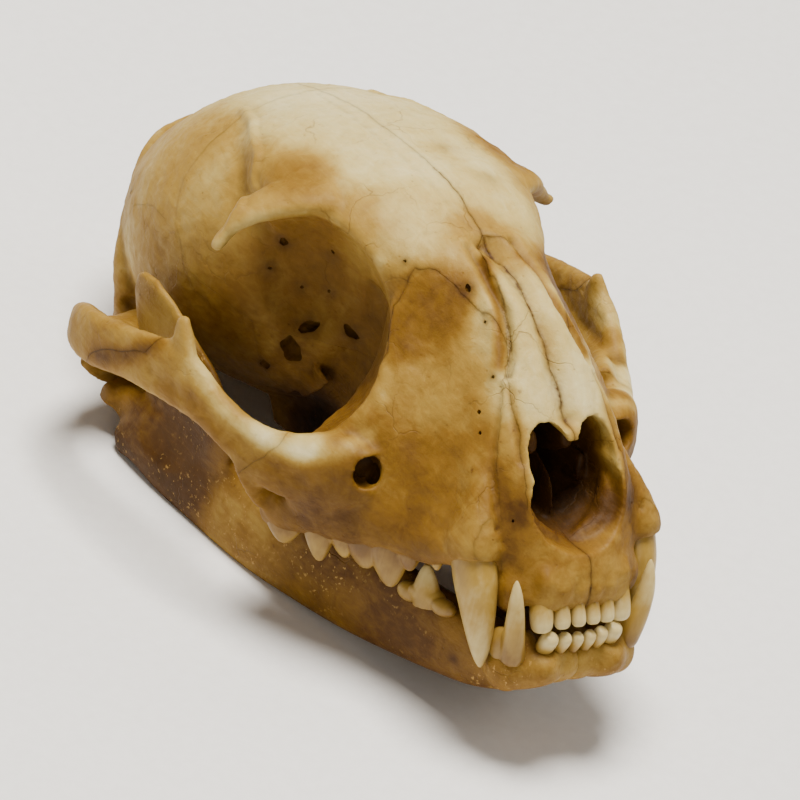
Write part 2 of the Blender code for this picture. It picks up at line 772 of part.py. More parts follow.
bones = {
    "nasal": ((3.0, 25, 36), "pale"),
    "premaxilla": ((6.0, 4, 0.5), "warm"),
    "maxilla": ((20.0, 30, 10), "warm"),
    "zygomatic": ((41.0, 60, 16), "ochre"),
    "frontal": ((10.0, 60, 45), "pale"),
    "parietal": ((12.0, 100, 42), "pale"),
    "temporal": ((22.0, 98, 15), "ochre"),
}
middleBones = {
    "occipital": ((0.0, 120, 24), "ochre"),
    "cranial_base": ((0.0, 90, 10), "dark"),
}
colours = {"pale": "#d9ccae", "warm": "#c7ad7e", "ochre": "#b8935a", "dark": "#9c7845", "jaw": "#a98451"}


def linear(code):
    """The linear colour of an sRGB hex code."""
    parts = [int(code[k : k + 2], 16) / 255 for k in (1, 3, 5)]
    return [part / 12.92 if part <= 0.04045 else ((part + 0.055) / 1.055) ** 2.4 for part in parts]


def boneMaterial(name, colour):
    material = bpy.data.materials.new(name)
    material.use_nodes = True
    shader = material.node_tree.nodes["Principled BSDF"]
    shader.inputs["Base Color"].default_value = (*linear(colours[colour]), 1)
    shader.inputs["Roughness"].default_value = 0.55
    shader.inputs["Metallic"].default_value = 0
    return material


def nearest(pieces, point):
    """The piece whose surface is nearest to a point inside a bone."""
    point = Vector(point)
    trees = [BVHTree.FromBMesh(piece) for piece in pieces]
    return min(zip(pieces, trees), key=lambda pair: pair[1].find_nearest(point)[3])[0]


def craniumBones(whole):
    """An object for each bone of the cranium, by name."""
    withForms(whole, sutures(), "DIFFERENCE")
    pieces = looseParts(whole)
    wanted = dict(middleBones)
    for name, ((x, y, z), colour) in bones.items():
        wanted[f"{name}_left"] = ((x, y, z), colour)
        wanted[f"{name}_right"] = ((-x, y, z), colour)
    made = {}
    for name, (place, colour) in wanted.items():
        made[name] = asObject(nearest(pieces, place).copy(), name)
        made[name].data.materials.append(boneMaterial(name, colour))
    for piece in pieces:
        piece.free()
    bpy.data.objects.remove(whole)
    return made


def jawBones():
    half = jaw()
    made = {}
    for side, turn in (("left", 1), ("right", -1)):
        bone = bpy.data.objects.new(f"mandible_{side}", half.data.copy())
        bpy.context.scene.collection.objects.link(bone)
        bone.data.transform(Matrix.Diagonal((turn, 1, 1, 1)))
        if turn < 0:
            bone.data.flip_normals()
        bone.data.materials.append(boneMaterial(bone.name, "jaw"))
        made[bone.name] = bone
    bpy.data.objects.remove(half)
    return made


def withTeeth(made):
    """The bones with their teeth joined to them."""
    rows = {
        "premaxilla": lambda: frontTeeth(upperFront),
        "maxilla": lambda: [upperCanine(), *cheekTeeth(upperCheek, cheekRow)],
        "mandible": lambda: [*frontTeeth(lowerFront), lowerCanine(), *cheekTeeth(lowerCheek, jawRow)],
    }
    for bone, teeth in rows.items():
        withForms(made[f"{bone}_left"], teeth(), "UNION")
        withForms(made[f"{bone}_right"], [mirrored(form) for form in teeth()], "UNION")
        largestPiece(made[f"{bone}_left"])
        largestPiece(made[f"{bone}_right"])


def bounds(made):
    points = np.array([vert.co for bone in made.values() for vert in bone.data.vertices])
    return points.min(axis=0), points.max(axis=0)


def restMatrix(made):
    """Turns the bones to the resting pitch, with their box's bottom centre at the origin."""
    pitch = Matrix.Rotation(math.radians(restPitch), 4, "X")
    for bone in made.values():
        bone.data.transform(pitch)
    low, high = bounds(made)
    floor = Matrix.Translation((-(low[0] + high[0]) / 2, -(low[1] + high[1]) / 2, -low[2] - footDepth))
    for bone in made.values():
        bone.data.transform(floor)
    return floor @ pitch


def main():
    clearScene()
    made = craniumBones(cranium()) | jawBones()
    withTeeth(made)
    restMatrix(made)
    for bone in ("mandible_left", "mandible_right"):
        withForms(made[bone], [block((-60, -90, -20), (60, 90, 0))], "DIFFERENCE")
    for bone in made.values():
        bone.data.transform(Matrix.Scale(0.001, 4))


main()
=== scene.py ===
import json
import math

import bmesh
import bpy
import numpy as np
from mathutils import Matrix, Vector, noise
from mathutils.bvhtree import BVHTree

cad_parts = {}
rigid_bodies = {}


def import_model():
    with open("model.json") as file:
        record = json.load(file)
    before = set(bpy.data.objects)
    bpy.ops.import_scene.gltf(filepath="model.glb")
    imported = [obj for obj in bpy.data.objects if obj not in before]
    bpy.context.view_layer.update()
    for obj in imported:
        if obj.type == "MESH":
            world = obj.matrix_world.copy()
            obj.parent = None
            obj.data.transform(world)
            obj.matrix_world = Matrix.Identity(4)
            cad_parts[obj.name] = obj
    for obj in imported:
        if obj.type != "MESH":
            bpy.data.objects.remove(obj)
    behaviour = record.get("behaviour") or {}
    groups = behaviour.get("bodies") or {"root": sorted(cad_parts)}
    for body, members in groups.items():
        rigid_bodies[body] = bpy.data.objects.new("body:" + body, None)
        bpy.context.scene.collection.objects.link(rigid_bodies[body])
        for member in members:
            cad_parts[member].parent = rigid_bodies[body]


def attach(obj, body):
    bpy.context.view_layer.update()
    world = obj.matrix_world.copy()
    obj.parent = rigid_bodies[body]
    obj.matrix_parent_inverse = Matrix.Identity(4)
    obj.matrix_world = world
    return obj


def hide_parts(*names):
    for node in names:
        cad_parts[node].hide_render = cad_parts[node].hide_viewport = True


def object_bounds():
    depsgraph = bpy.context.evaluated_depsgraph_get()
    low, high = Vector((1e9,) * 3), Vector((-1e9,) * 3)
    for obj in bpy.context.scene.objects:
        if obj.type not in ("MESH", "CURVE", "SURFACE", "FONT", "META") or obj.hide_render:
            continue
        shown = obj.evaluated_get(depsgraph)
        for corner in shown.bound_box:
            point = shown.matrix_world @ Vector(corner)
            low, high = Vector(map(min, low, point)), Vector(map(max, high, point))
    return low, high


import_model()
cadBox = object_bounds()

# Skull millimetres: x to the skull's left, y back from the upper incisors, z up from the palate.
skull = {
    "pitch": -14.6,                   # degrees about x, nose up, as it rests on its jaw
    "place": (0.0, -62.577, 31.516),  # where that puts the palate's front, in the row's millimetres
    "fusing": 0.62,                   # mm between the points of the first, rough bone
    "grain": 0.44,                    # and of the finished one
    "suture": 0.06,                   # gap between two bones
}
toRow = (Matrix.Scale(0.001, 4) @ Matrix.Translation(skull["place"])
         @ Matrix.Rotation(math.radians(skull["pitch"]), 4, "X"))

# Camera and light

photoView = {
    "aim": (-6.293, -11.388, 32.651),  # the middle of the picture, in the row's millimetres
    "azimuth": -42.18,
    "elevation": 33.81,
    "roll": 18.42,
    "distance": 1613.7,
    "lens": 450.8,                     # on a 36 mm sensor
    "pixels": 800,
}


def cameraAxes():
    turn, rise = math.radians(photoView["azimuth"]), math.radians(photoView["elevation"])
    back = Vector((math.sin(turn) * math.cos(rise), -math.cos(turn) * math.cos(rise), math.sin(rise)))
    right = Vector((0, 0, 1)).cross(back).normalized()
    right.rotate(Matrix.Rotation(math.radians(photoView["roll"]), 3, back))
    return right, back.cross(right), back


def setCamera():
    right, up, back = cameraAxes()
    data = bpy.data.cameras.new("photoView")
    data.lens = photoView["lens"]
    data.clip_end = 20
    camera = bpy.data.objects.new("photoView", data)
    camera.matrix_world = Matrix((right, up, back)).transposed().to_4x4()
    camera.location = (Vector(photoView["aim"]) + back * photoView["distance"]) / 1000
    bpy.context.scene.collection.objects.link(camera)
    bpy.context.scene.camera = camera


def rayThrough(pixel):
    # from the camera through a pixel of the photo, in skull millimetres
    right, up, back = cameraAxes()
    eye = Vector(photoView["aim"]) + back * photoView["distance"]
    focal = photoView["lens"] / 36 * photoView["pixels"]
    across, down = (value - photoView["pixels"] / 2 for value in pixel)
    ahead = right * across / focal - up * down / focal - back
    back = toRow.inverted()
    return back @ (eye / 1000), (back.to_3x3() @ ahead).normalized()


lights = {
    # name: place and aim in metres, size, watts, colour
    "overhead": ((-0.05, 0.10, 0.95), (0, 0, 0.03), 0.45, 20.0, "#fffaf2"),
    "front": ((-0.55, -0.9, 0.45), (0, -0.02, 0.03), 0.6, 1.9, "#fff4e4"),
    "side": ((0.8, -0.35, 0.5), (0, 0, 0.03), 0.5, 2.2, "#fff8ee"),
}
surroundings = {"Color": "#f8f6f2", "Strength": 0.2}


def setLights():
    for name, (place, aim, size, watts, colour) in lights.items():
        data = bpy.data.lights.new(name, "AREA")
        data.shape = "DISK"
        data.size = size
        data.energy = watts
        data.color = linear(colour)[:3]
        lamp = bpy.data.objects.new(name, data)
        lamp.location = place
        lamp.rotation_euler = (Vector(place) - Vector(aim)).to_track_quat("Z", "Y").to_euler()
        bpy.context.scene.collection.objects.link(lamp)
    world = bpy.data.worlds.new("studio")
    world.use_nodes = True
    background = world.node_tree.nodes["Background"]
    background.inputs["Color"].default_value = linear(surroundings["Color"])
    background.inputs["Strength"].default_value = surroundings["Strength"]
    bpy.context.scene.world = world


def linear(code):
    # sRGB hex to the linear values that sockets take
    parts = [int(code[k : k + 2], 16) / 255 for k in (1, 3, 5)]
    return [*(part / 12.92 if part <= 0.04045 else ((part + 0.055) / 1.055) ** 2.4 for part in parts), 1]


# Shapes

def between(before, here, after, beyond, t):
    return 0.5 * (2 * here + (after - before) * t + (2 * before - 5 * here + 4 * after - beyond) * t * t
                  + (3 * here - before - 3 * after + beyond) * t ** 3)


def eased(rows, spans):
    # more rows, on a smooth curve through the given ones
    rows = [np.array(row, float) for row in rows]
    held = [2 * rows[0] - rows[1], *rows, 2 * rows[-1] - rows[-2]]
    smooth = []
    for k in range(1, len(held) - 2):
        before, here, after, beyond = held[k - 1 : k + 3]
        for t in np.arange(spans) / spans:
            smooth.append(between(before, here, after, beyond, t))
    smooth.append(rows[-1])
    return smooth


def power(value, exponent):
    # keeps the sign, so that a section can be rounder or squarer than an ellipse
    return math.copysign(abs(value) ** exponent, value)


def loft(rings, sides):
    # a closed mesh through rings, each a function from an angle to a point
    bm = bmesh.new()
    turn = bm.verts.layers.float.new("turn")
    bmesh.ops.create_circle(bm, cap_ends=True, segments=sides, radius=1)
    for vert in bm.verts:
        vert[turn] = math.atan2(vert.co.y, vert.co.x)
    moved, edges = bm.verts[:], bm.edges[:]
    for index, ring in enumerate(rings):
        if index:
            made = bmesh.ops.extrude_edge_only(bm, edges=edges)["geom"]
            moved = [item for item in made if isinstance(item, bmesh.types.BMVert)]
            edges = [item for item in made if isinstance(item, bmesh.types.BMEdge)]
        for vert in moved:
            vert.co = ring(vert[turn])
    bmesh.ops.contextual_create(bm, geom=edges)
    bmesh.ops.recalc_face_normals(bm, faces=bm.faces)
    return bm


def trunk(rows):
    # rows of y, half width, z of the widest point, top, bottom, top power, bottom power
    def section(row):
        y, half, wide, top, bottom, topPower, bottomPower = row

        def point(angle):
            across, up = math.cos(angle), math.sin(angle)
            bend = topPower if up > 0 else bottomPower
            reach = top - wide if up > 0 else wide - bottom
            return Vector((half * power(across, 2 / bend), y, wide + reach * power(up, 2 / bend)))

        return point

    return loft([section(row) for row in eased(rows, 6)], 64)


def hull(rows):
    # rows of y, top z, four x z corners down the left side, bottom z
    def section(row):
        y, top, *corners, bottom = row
        left = np.array([(0, bottom), *list(zip(corners[::2], corners[1::2]))[::-1], (0, top)])
        ring = np.concatenate([left, left[-2:0:-1] * (-1, 1)])

        def point(angle):
            at = (angle / math.tau + 0.25) % 1 * len(ring)
            k, t = int(at), at % 1
            before, here, after, beyond = (ring[(k + step) % len(ring)] for step in (-1, 0, 1, 2))
            x, z = between(before, here, after, beyond, t)
            return Vector((x, y, z))

        return point

    return loft([section(row) for row in eased(rows, 6)], 80)


def limb(rows, up=(0, 0, 1), spans=6, sides=32, bend=2):
    # rows of x, y, z, half thickness, half height, the height turned towards up
    rows = eased(rows, spans)
    points = [Vector(row[:3]) for row in rows]
    up = Vector(up)

    def section(index):
        ahead = points[min(index + 1, len(points) - 1)] - points[max(index - 1, 0)]
        side = ahead.cross(up).normalized()
        rise = side.cross(ahead).normalized()
        thick, high = rows[index][3:5]
        return lambda angle: (points[index] + side * thick * power(math.cos(angle), 2 / bend)
                              + rise * high * power(math.sin(angle), 2 / bend))

    return loft([section(index) for index in range(len(rows))], sides)


def blob(centre, radii, turn=0):
    # an ellipsoid, turned by some degrees about z
    bm = bmesh.new()
    place = (Matrix.Translation(centre) @ Matrix.Rotation(math.radians(turn), 4, "Z")
             @ Matrix.Diagonal((*radii, 1)))
    bmesh.ops.create_icosphere(bm, subdivisions=4, radius=1, matrix=place)
    return bm


def block(low, high):
    bm = bmesh.new()
    low, high = Vector(low), Vector(high)
    place = Matrix.Translation((low + high) / 2) @ Matrix.Diagonal((*(high - low), 1))
    bmesh.ops.create_cube(bm, size=1, matrix=place)
    return bm


def mirrored(bm):
    other = bm.copy()
    bmesh.ops.scale(other, vec=(-1, 1, 1), verts=other.verts)
    bmesh.ops.reverse_faces(other, faces=other.faces)
    return other


def paired(forms):
    return [side for form in forms for side in (form, mirrored(form))]


straying = ((0.13, 0.6), (0.36, 0.35), (0.7, 0.12))  # waves to a mm, and mm
sheetStep = {"along": 0.6, "across": 0.8}            # mm, close enough that sheets still cross cleanly
noise.seed_set(7)  # otherwise the clock decides how noise_vector turns out


def wander(point):
    # how far the real sutures stray, the same for all so that they still meet
    return sum((noise.noise_vector(point * often) * far for often, far in straying), Vector())


def stepped(path, counts):
    points = []
    for start, end, count in zip(path, path[1:], counts):
        points += [Vector(start).lerp(Vector(end), k / count) for k in range(count)]
    return [*points, Vector(path[-1])]


def sheet(path, other, thick):
    # a closed sheet between two paths
    lengths = [max((Vector(b) - Vector(a)).length, (Vector(d) - Vector(c)).length)
               for a, b, c, d in zip(path, path[1:], other, other[1:])]
    counts = [max(1, round(length / sheetStep["along"])) for length in lengths]
    near, far = stepped(path, counts), stepped(other, counts)
    widest = max((b - a).length for a, b in zip(near, far))
    across = max(2, round(widest / sheetStep["across"]))
    bm = bmesh.new()
    bmesh.ops.create_grid(bm, x_segments=len(near) - 1, y_segments=across, size=1)
    for vert in bm.verts:
        k, t = round((vert.co.x + 1) / 2 * (len(near) - 1)), (vert.co.y + 1) / 2
        point = near[k].lerp(far[k], t)
        vert.co = point + wander(point)
    bm.normal_update()
    for vert in bm.verts:
        vert.co += vert.normal * thick / 2
    bmesh.ops.solidify(bm, geom=bm.faces[:], thickness=thick)
    bmesh.ops.recalc_face_normals(bm, faces=bm.faces)
    return bm


def asObject(bm, name, collection=None):
    # uses the mesh up
    mesh = bpy.data.meshes.new(name)
    bm.to_mesh(mesh)
    bm.free()
    made = bpy.data.objects.new(name, mesh)
    (collection or bpy.context.scene.collection).objects.link(made)
    return made


def joined(forms, name):
    whole = bpy.data.meshes.new(name)
    bm = bmesh.new()
    for form in forms:
        form.to_mesh(whole)
        bm.from_mesh(whole)
        form.free()
    bpy.data.meshes.remove(whole)
    return asObject(bm, name)


def applied(made):
    graph = bpy.context.evaluated_depsgraph_get()
    graph.update()
    mesh = bpy.data.meshes.new_from_object(made.evaluated_get(graph))
    made.modifiers.clear()
    made.data = mesh
    return made


def fused(made, voxel, rounds):
    # one skin round everything, smoothed some rounds
    remesh = made.modifiers.new("fuse", "REMESH")
    remesh.mode = "VOXEL"
    remesh.voxel_size = voxel
    smooth = made.modifiers.new("soften", "SMOOTH")
    smooth.factor = 0.5
    smooth.iterations = rounds
    return applied(made)


def withForms(made, forms, operation):
    tools = bpy.data.collections.new("tools")
    bpy.context.scene.collection.children.link(tools)
    for index, form in enumerate(forms):
        asObject(form, f"tool{index}", tools)
    change = made.modifiers.new("change", "BOOLEAN")
    change.operand_type = "COLLECTION"
    change.collection = tools
    change.operation = operation
    change.solver = "MANIFOLD"
    applied(made)
    for tool in list(tools.objects):
        bpy.data.objects.remove(tool)
    bpy.data.collections.remove(tools)
    return made


# Sculpting: points as arrays, pushed along their normals

def pointsOf(mesh, kind="co"):
    values = np.empty(len(mesh.vertices) * 3, np.float32)
    (mesh.vertices if kind == "co" else mesh.vertex_normals).foreach_get(
        "co" if kind == "co" else "vector", values)
    return values.reshape(-1, 3).astype(float)


def setPoints(mesh, points):
    mesh.vertices.foreach_set("co", points.astype(np.float32).ravel())
    mesh.update()


def toPath(points, path, reach):
    # distance from each point to a bent line, as far as reach
    path = np.array(path, float)
    far = np.full(len(points), reach * 1.0)
    near = ((points > path.min(axis=0) - reach) & (points < path.max(axis=0) + reach)).all(axis=1)
    some = points[near]
    least = np.full(len(some), reach * 1.0)
    for start, end in zip(path[:-1], path[1:]):
        along = end - start
        t = np.clip((some - start) @ along / max(along @ along, 1e-9), 0, 1)
        least = np.minimum(least, np.linalg.norm(some - start - t[:, None] * along, axis=1))
    far[near] = least
    return far


def onSurface(tree, pixels):
    # where the photo's pixels lie on the bone, in skull millimetres
    found = []
    for pixel in pixels:
        hit = tree.ray_cast(*rayThrough(pixel))[0]
        if hit is not None:
            found.append(np.array(hit))
    return found


def bothSides(path):
    return [path, [point * (-1, 1, 1) for point in path]]


# The cranium's forms

craniumForms = {
    "braincase": [
        # y, half width, wide z, top, bottom, top power, bottom power
        (56, 12.0, 30, 44.0, 18.0, 2.0, 2.0), (62, 16.5, 31, 46.5, 11.0, 2.2, 2.4),
        (69, 20.0, 31, 49.3, 6.0, 2.2, 2.6), (77, 23.4, 30, 51.0, 2.8, 2.2, 2.6),
        (86, 25.8, 28, 51.6, 1.8, 2.1, 2.6), (95, 26.2, 26, 50.2, 2.0, 2.1, 2.6),
        (104, 24.2, 25, 46.6, 3.5, 2.1, 2.4), (112, 20.4, 23, 41.0, 5.0, 2.1, 2.4),
        (118, 16.0, 21, 36.8, 6.0, 2.1, 2.4), (122, 10.0, 20, 32.5, 8.0, 2.1, 2.4),
    ],
    "forehead": [
        (30, 7.0, 34.0, 42.0, 26.0, 2.4, 2.0), (34, 9.0, 35.0, 43.6, 26.0, 2.4, 2.0),
        (38, 11.2, 36.0, 44.6, 27.0, 2.4, 2.0), (42, 13.6, 37.0, 45.7, 28.0, 2.4, 2.0),
        (46, 15.8, 38.5, 47.3, 29.0, 2.4, 2.0), (50, 17.6, 40.0, 49.2, 31.0, 2.4, 2.0),
        (54, 19.0, 40.5, 50.3, 32.0, 2.4, 2.0), (58, 20.8, 41.0, 50.8, 33.0, 2.3, 2.0),
        (64, 24.0, 40.5, 51.4, 34.0, 2.3, 2.0), (70, 23.4, 41.5, 52.0, 34.0, 2.4, 2.0),
        (77, 21.6, 43.0, 52.2, 35.0, 2.4, 2.0), (84, 19.6, 44.0, 51.7, 36.0, 2.3, 2.0),
        (92, 16.0, 44.5, 50.0, 38.0, 2.2, 2.0),
    ],
    "orbitWall": [
        (38, 12.0, 24, 44.0, 2.5, 4.0, 4.0), (46, 10.5, 24, 45.0, 2.5, 4.0, 4.0),
        (54, 10.0, 24, 46.0, 3.0, 4.0, 4.0), (62, 11.5, 24, 46.0, 4.0, 4.0, 3.0),
        (70, 13.0, 24, 46.0, 4.0, 3.0, 3.0),
    ],
    "palate": [
        (30, 15.0, 4.0, 8.0, 1.6, 4.0, 6.0), (40, 15.5, 4.0, 8.0, 1.6, 4.0, 6.0),
        (50, 11.5, 4.5, 8.0, 2.0, 4.0, 6.0), (58, 8.5, 7.0, 10.0, 4.5, 4.0, 4.0),
        (70, 8.0, 8.0, 12.0, 5.5, 4.0, 4.0), (80, 12.0, 7.0, 13.0, 2.0, 3.0, 4.0),
        (96, 12.0, 7.0, 14.0, 2.0, 3.0, 4.0), (114, 8.0, 8.0, 14.0, 5.0, 3.0, 3.0),
    ],
}
rostrumRows = [
    # y, top z, four x z corners down the left side, bottom z
    (1.5, 3.2, 4.6, 2.6, 7.0, 1.0, 7.8, -1.0, 7.2, -2.8, -3.2),
    (4.5, 9.0, 5.2, 7.8, 8.2, 5.0, 9.9, 1.6, 9.8, -2.0, -3.2),
    (8.5, 18.6, 8.4, 17.0, 11.0, 12.0, 12.8, 6.0, 12.2, 1.8, -2.6),
    (12.0, 24.4, 9.4, 21.2, 12.6, 15.0, 16.0, 7.6, 16.8, 2.4, -1.8),
    (16.0, 30.0, 8.7, 27.0, 12.8, 19.0, 17.4, 8.0, 18.4, 1.2, -0.6),
    (20.5, 35.3, 7.7, 31.9, 12.8, 22.5, 18.2, 9.0, 19.2, 0.2, 0.6),
    (25.5, 39.8, 6.2, 36.9, 13.0, 26.0, 20.0, 11.0, 21.0, 0.2, 0.8),
    (31.0, 42.6, 6.4, 40.3, 13.6, 30.0, 23.0, 13.6, 24.4, 0.2, 0.8),
    (37.0, 44.4, 8.0, 42.2, 15.0, 33.0, 26.0, 16.0, 28.6, 0.6, 1.0),
    (43.0, 45.8, 10.0, 43.6, 15.6, 34.0, 26.4, 17.0, 29.8, 1.4, 1.4),
    (49.0, 40.0, 8.0, 36.0, 13.0, 28.0, 20.0, 14.0, 22.0, 5.0, 4.0),
]
craniumLimbs = {
    # rows of x, y, z, half thickness, half height; then up and bend
    "cheekArch": ([
        (22.5, 31.0, 10.5, 3.2, 4.5), (26.4, 35.5, 10.0, 4.5, 6.5), (31.2, 41.0, 9.2, 3.4, 5.6),
        (34.8, 45.5, 10.0, 2.6, 4.8), (37.4, 50.0, 12.2, 2.1, 3.8), (39.3, 54.5, 14.6, 2.0, 3.8),
        (40.8, 59.5, 16.8, 1.9, 4.8), (41.8, 64.0, 17.4, 1.9, 5.2), (42.8, 69.0, 17.4, 1.9, 4.8),
        (43.6, 75.0, 16.8, 2.0, 4.4), (43.8, 82.0, 15.8, 2.0, 4.6), (42.8, 87.6, 15.2, 2.1, 4.4),
        (39.8, 91.8, 13.6, 2.6, 3.8), (34.0, 94.8, 10.2, 4.0, 3.0), (27.5, 96.4, 8.4, 5.4, 3.0),
        (20.0, 96.6, 8.4, 6.0, 3.6),
    ], (0, 0, 1), 2.6),
    "canineRoot": ([
        (15.5, 12.2, 3.3, 4.2, 5.0), (15.2, 13.0, 6.0, 4.1, 5.2), (13.6, 15.0, 11.0, 3.2, 4.5),
        (11.8, 18.0, 17.0, 2.2, 3.2),
    ], (0, 1, 0), 2),
    "toothRidge": ([
        (17.6, 19.0, 2.6, 2.2, 3.2), (20.2, 26.5, 2.0, 2.6, 3.4), (24.2, 34.0, 1.2, 2.9, 3.4),
        (27.4, 41.0, 0.6, 2.9, 3.6), (29.3, 47.0, -0.6, 2.2, 3.8), (29.8, 50.0, -0.6, 1.4, 3.2),
    ], (0, 0, 1), 2),
    "cheekBlade": ([
        (36.6, 47.4, 8.0, 2.0, 1.6), (34.4, 46.8, 4.0, 2.4, 1.3), (31.0, 47.8, 0.8, 2.6, 1.2),
    ], (0, 1, 0), 2),
    "pterygoid": ([
        (7.8, 54.0, 3.5, 1.4, 5.2), (7.4, 62.0, 2.6, 0.9, 6.0), (7.0, 70.0, 2.2, 0.8, 6.4),
        (7.0, 77.0, 1.4, 0.8, 6.0), (7.4, 82.0, 0.0, 0.8, 3.6),
    ], (0, 0, 1), 2),
    "glenoidShelf": ([(19.0, 96.5, 6.5, 5.0, 4.0), (27.0, 96.0, 6.8, 5.0, 4.4),
                      (34.0, 94.4, 7.8, 3.4, 3.2)], (0, 0, 1), 2),
    "postglenoid": ([(20.5, 99.6, 2.5, 1.7, 4.0), (27.0, 99.6, 2.6, 1.7, 4.2),
                     (33.5, 98.6, 6.0, 1.5, 3.4)], (0, 0, 1), 2),
    "earRidge": ([
        (0.0, 122.6, 33.0, 1.6, 2.2), (9.0, 120.3, 30.5, 1.5, 2.4), (15.4, 115.6, 24.0, 1.6, 2.4),
        (19.2, 111.0, 16.0, 2.0, 2.8), (20.2, 107.6, 8.5, 2.6, 3.0), (19.0, 109.4, 3.0, 2.4, 2.4),
    ], (0, 1, 0.3), 2),
}
leftCheekFloor = [  # the left cheek bone reaches further in below the eye
    (29.5, 43.0, 14.5, 2.2, 3.0), (33.0, 48.5, 13.5, 2.0, 3.6), (36.2, 54.0, 11.8, 1.8, 3.8),
    (38.6, 60.0, 11.2, 1.6, 3.6), (40.6, 66.0, 12.5, 1.4, 3.2), (42.0, 72.0, 14.2, 1.2, 2.6),
]
sockets = {
    # the swellings over the front teeth and over the upper molar: centre and radii
    "upper": [((1.4, 2.4, 0.2), (1.35, 1.9, 2.5)), ((4.3, 2.7, 0.3), (1.5, 2.0, 2.7)),
              ((7.3, 3.9, 1.4), (1.8, 2.4, 3.0)), ((26.4, 50.2, 3.0), (2.2, 3.6, 2.8))],
    "lower": [((1.2, 2.6, -11.4), (1.1, 1.7, 2.0)), ((3.6, 3.0, -11.4), (1.3, 1.8, 2.1)),
              ((6.2, 3.8, -11.8), (1.6, 2.0, 2.3)), ((8.6, 6.0, -10.4), (2.8, 3.0, 3.4))],
}
browHorns = {
    "left": [
        (16.0, 62.0, 45.2, 6.5, 3.0), (21.0, 63.4, 43.8, 5.6, 2.5), (25.0, 65.4, 41.6, 3.8, 1.9),
        (29.2, 67.2, 38.9, 2.2, 1.5), (32.4, 67.9, 36.6, 1.1, 1.0),
    ],
    "right": [  # as if on the left; it stands higher
        (16.0, 62.5, 46.0, 6.5, 2.9), (22.0, 64.6, 45.0, 5.2, 2.4), (27.0, 66.2, 43.1, 3.7, 2.0),
        (30.8, 67.5, 40.2, 2.4, 1.5), (33.0, 68.2, 36.3, 1.2, 1.0),
    ],
}

jugalHorn = {"left top": 24.8, "right top": 27.4}  # worn to different heights


def jugalTip(top):
    return limb([
        (41.0, 60.8, 17.0, 1.9, 5.0),
        (41.0, 61.8, top - 6.2, 1.6, 3.4),
        (41.0, 62.6, top - 2.6, 1.3, 2.2),
        (41.0, 63.0, top, 0.8, 1.2),
    ], up=(0, -1, 0.2))


noseCuts = {
    # rows for limb; the second also on the other side
    "middle": [
        (0, -6.0, 11.6, 8.4, 5.6), (0, 4.0, 13.0, 9.0, 7.2), (0, 12.0, 14.6, 8.6, 7.6),
        (0, 22.0, 16.6, 7.0, 7.5), (0, 34.0, 17.0, 5.5, 6.5),
    ],
    "side": [
        (5.0, -4.0, 18.4, 4.4, 6.4), (4.7, 6.0, 19.6, 4.2, 6.0), (4.2, 14.0, 20.0, 3.7, 5.0),
        (3.4, 24.0, 20.4, 3.0, 4.6),
    ],
}
noseScrolls = [
    # thin curled bones inside the nose, left side: the way their height is turned, and rows for limb
    ((0, 1, 0), [(8.8, 13.0, 14.5, 0.8, 1.4), (8.1, 11.2, 11.2, 1.3, 2.0), (6.3, 10.0, 8.4, 1.4, 2.0),
                 (3.6, 9.4, 6.9, 1.2, 1.7), (1.4, 9.2, 6.2, 0.9, 1.2)]),
    ((0, 0, 1), [(3.4, 17.0, 20.0, 1.1, 1.9), (3.7, 22.0, 18.6, 1.5, 3.0), (3.4, 31.0, 18.0, 1.6, 3.8)]),
    ((0, 0, 1), [(6.3, 16.0, 14.6, 0.8, 2.4), (6.1, 22.0, 14.6, 1.0, 3.4), (5.4, 31.0, 15.0, 1.0, 3.6)]),
]
orbitSplinters = [
    # thin bone, broken off unevenly where the eye socket opens below, left side
    [(13.5, 61.5, 14.5, 0.55, 2.0), (12.4, 63.4, 12.2, 0.5, 1.5), (11.8, 64.6, 10.4, 0.4, 0.6)],
    [(13.2, 64.5, 12.5, 0.55, 2.2), (12.0, 67.2, 9.6, 0.5, 1.8), (11.6, 68.6, 7.6, 0.4, 0.7)],
    [(13.6, 69.5, 10.5, 0.55, 2.2), (12.6, 71.8, 8.0, 0.5, 1.7), (12.2, 73.0, 6.4, 0.4, 0.6)],
    [(13.6, 74.5, 9.5, 0.55, 1.8), (12.6, 76.4, 7.2, 0.45, 1.0)],
]
septum = [(0, 15.0, 7.6, 0.5, 2.2), (0, 20.0, 10.6, 0.55, 5.4), (0, 33.0, 14.0, 0.6, 8.0)]


orbits = [((28.5, 54.5, 28.3), (17.5, 19.0, 18.3)), ((29.5, 48.8, 25.0), (15.0, 14.0, 13.0))]
swellings = {
    # centre, radii and degrees about z, on both sides
    "behindLowerCanine": ((10.5, 8.5, -0.6), (3.0, 4.0, 4.2)),
    "bulla": ((14.0, 103.0, 3.5), (7.6, 12.0, 7.5), 14),
    "condyle": ((7.0, 119.5, 10.0), (4.2, 4.6, 6.0), 25),
}
hollows = {
    "palate": ((0, 36, -3.0), (14.5, 25.0, 5.6)),
    "spinalOpening": ((0, 125, 13), (6.5, 8.5, 6.0)),
}
jawSocket = [(18.0, 94.6, -0.8, 3.4, 3.4), (27.0, 95.2, -0.8, 3.6, 3.6), (38.0, 95.4, -0.6, 3.4, 3.4)]
sideHollows = {
    "ear": ((25, 105.5, 9.5), (5.0, 2.2, 2.2)),
    "snoutCanal": ((24.5, 31.6, 11.6), (2.4, 4.0, 2.8), 30),
}


def reopened(whole):
    # an object's mesh as one more form, and the object gone
    bm = bmesh.new()
    bm.from_mesh(whole.data)
    bpy.data.objects.remove(whole)
    return bm


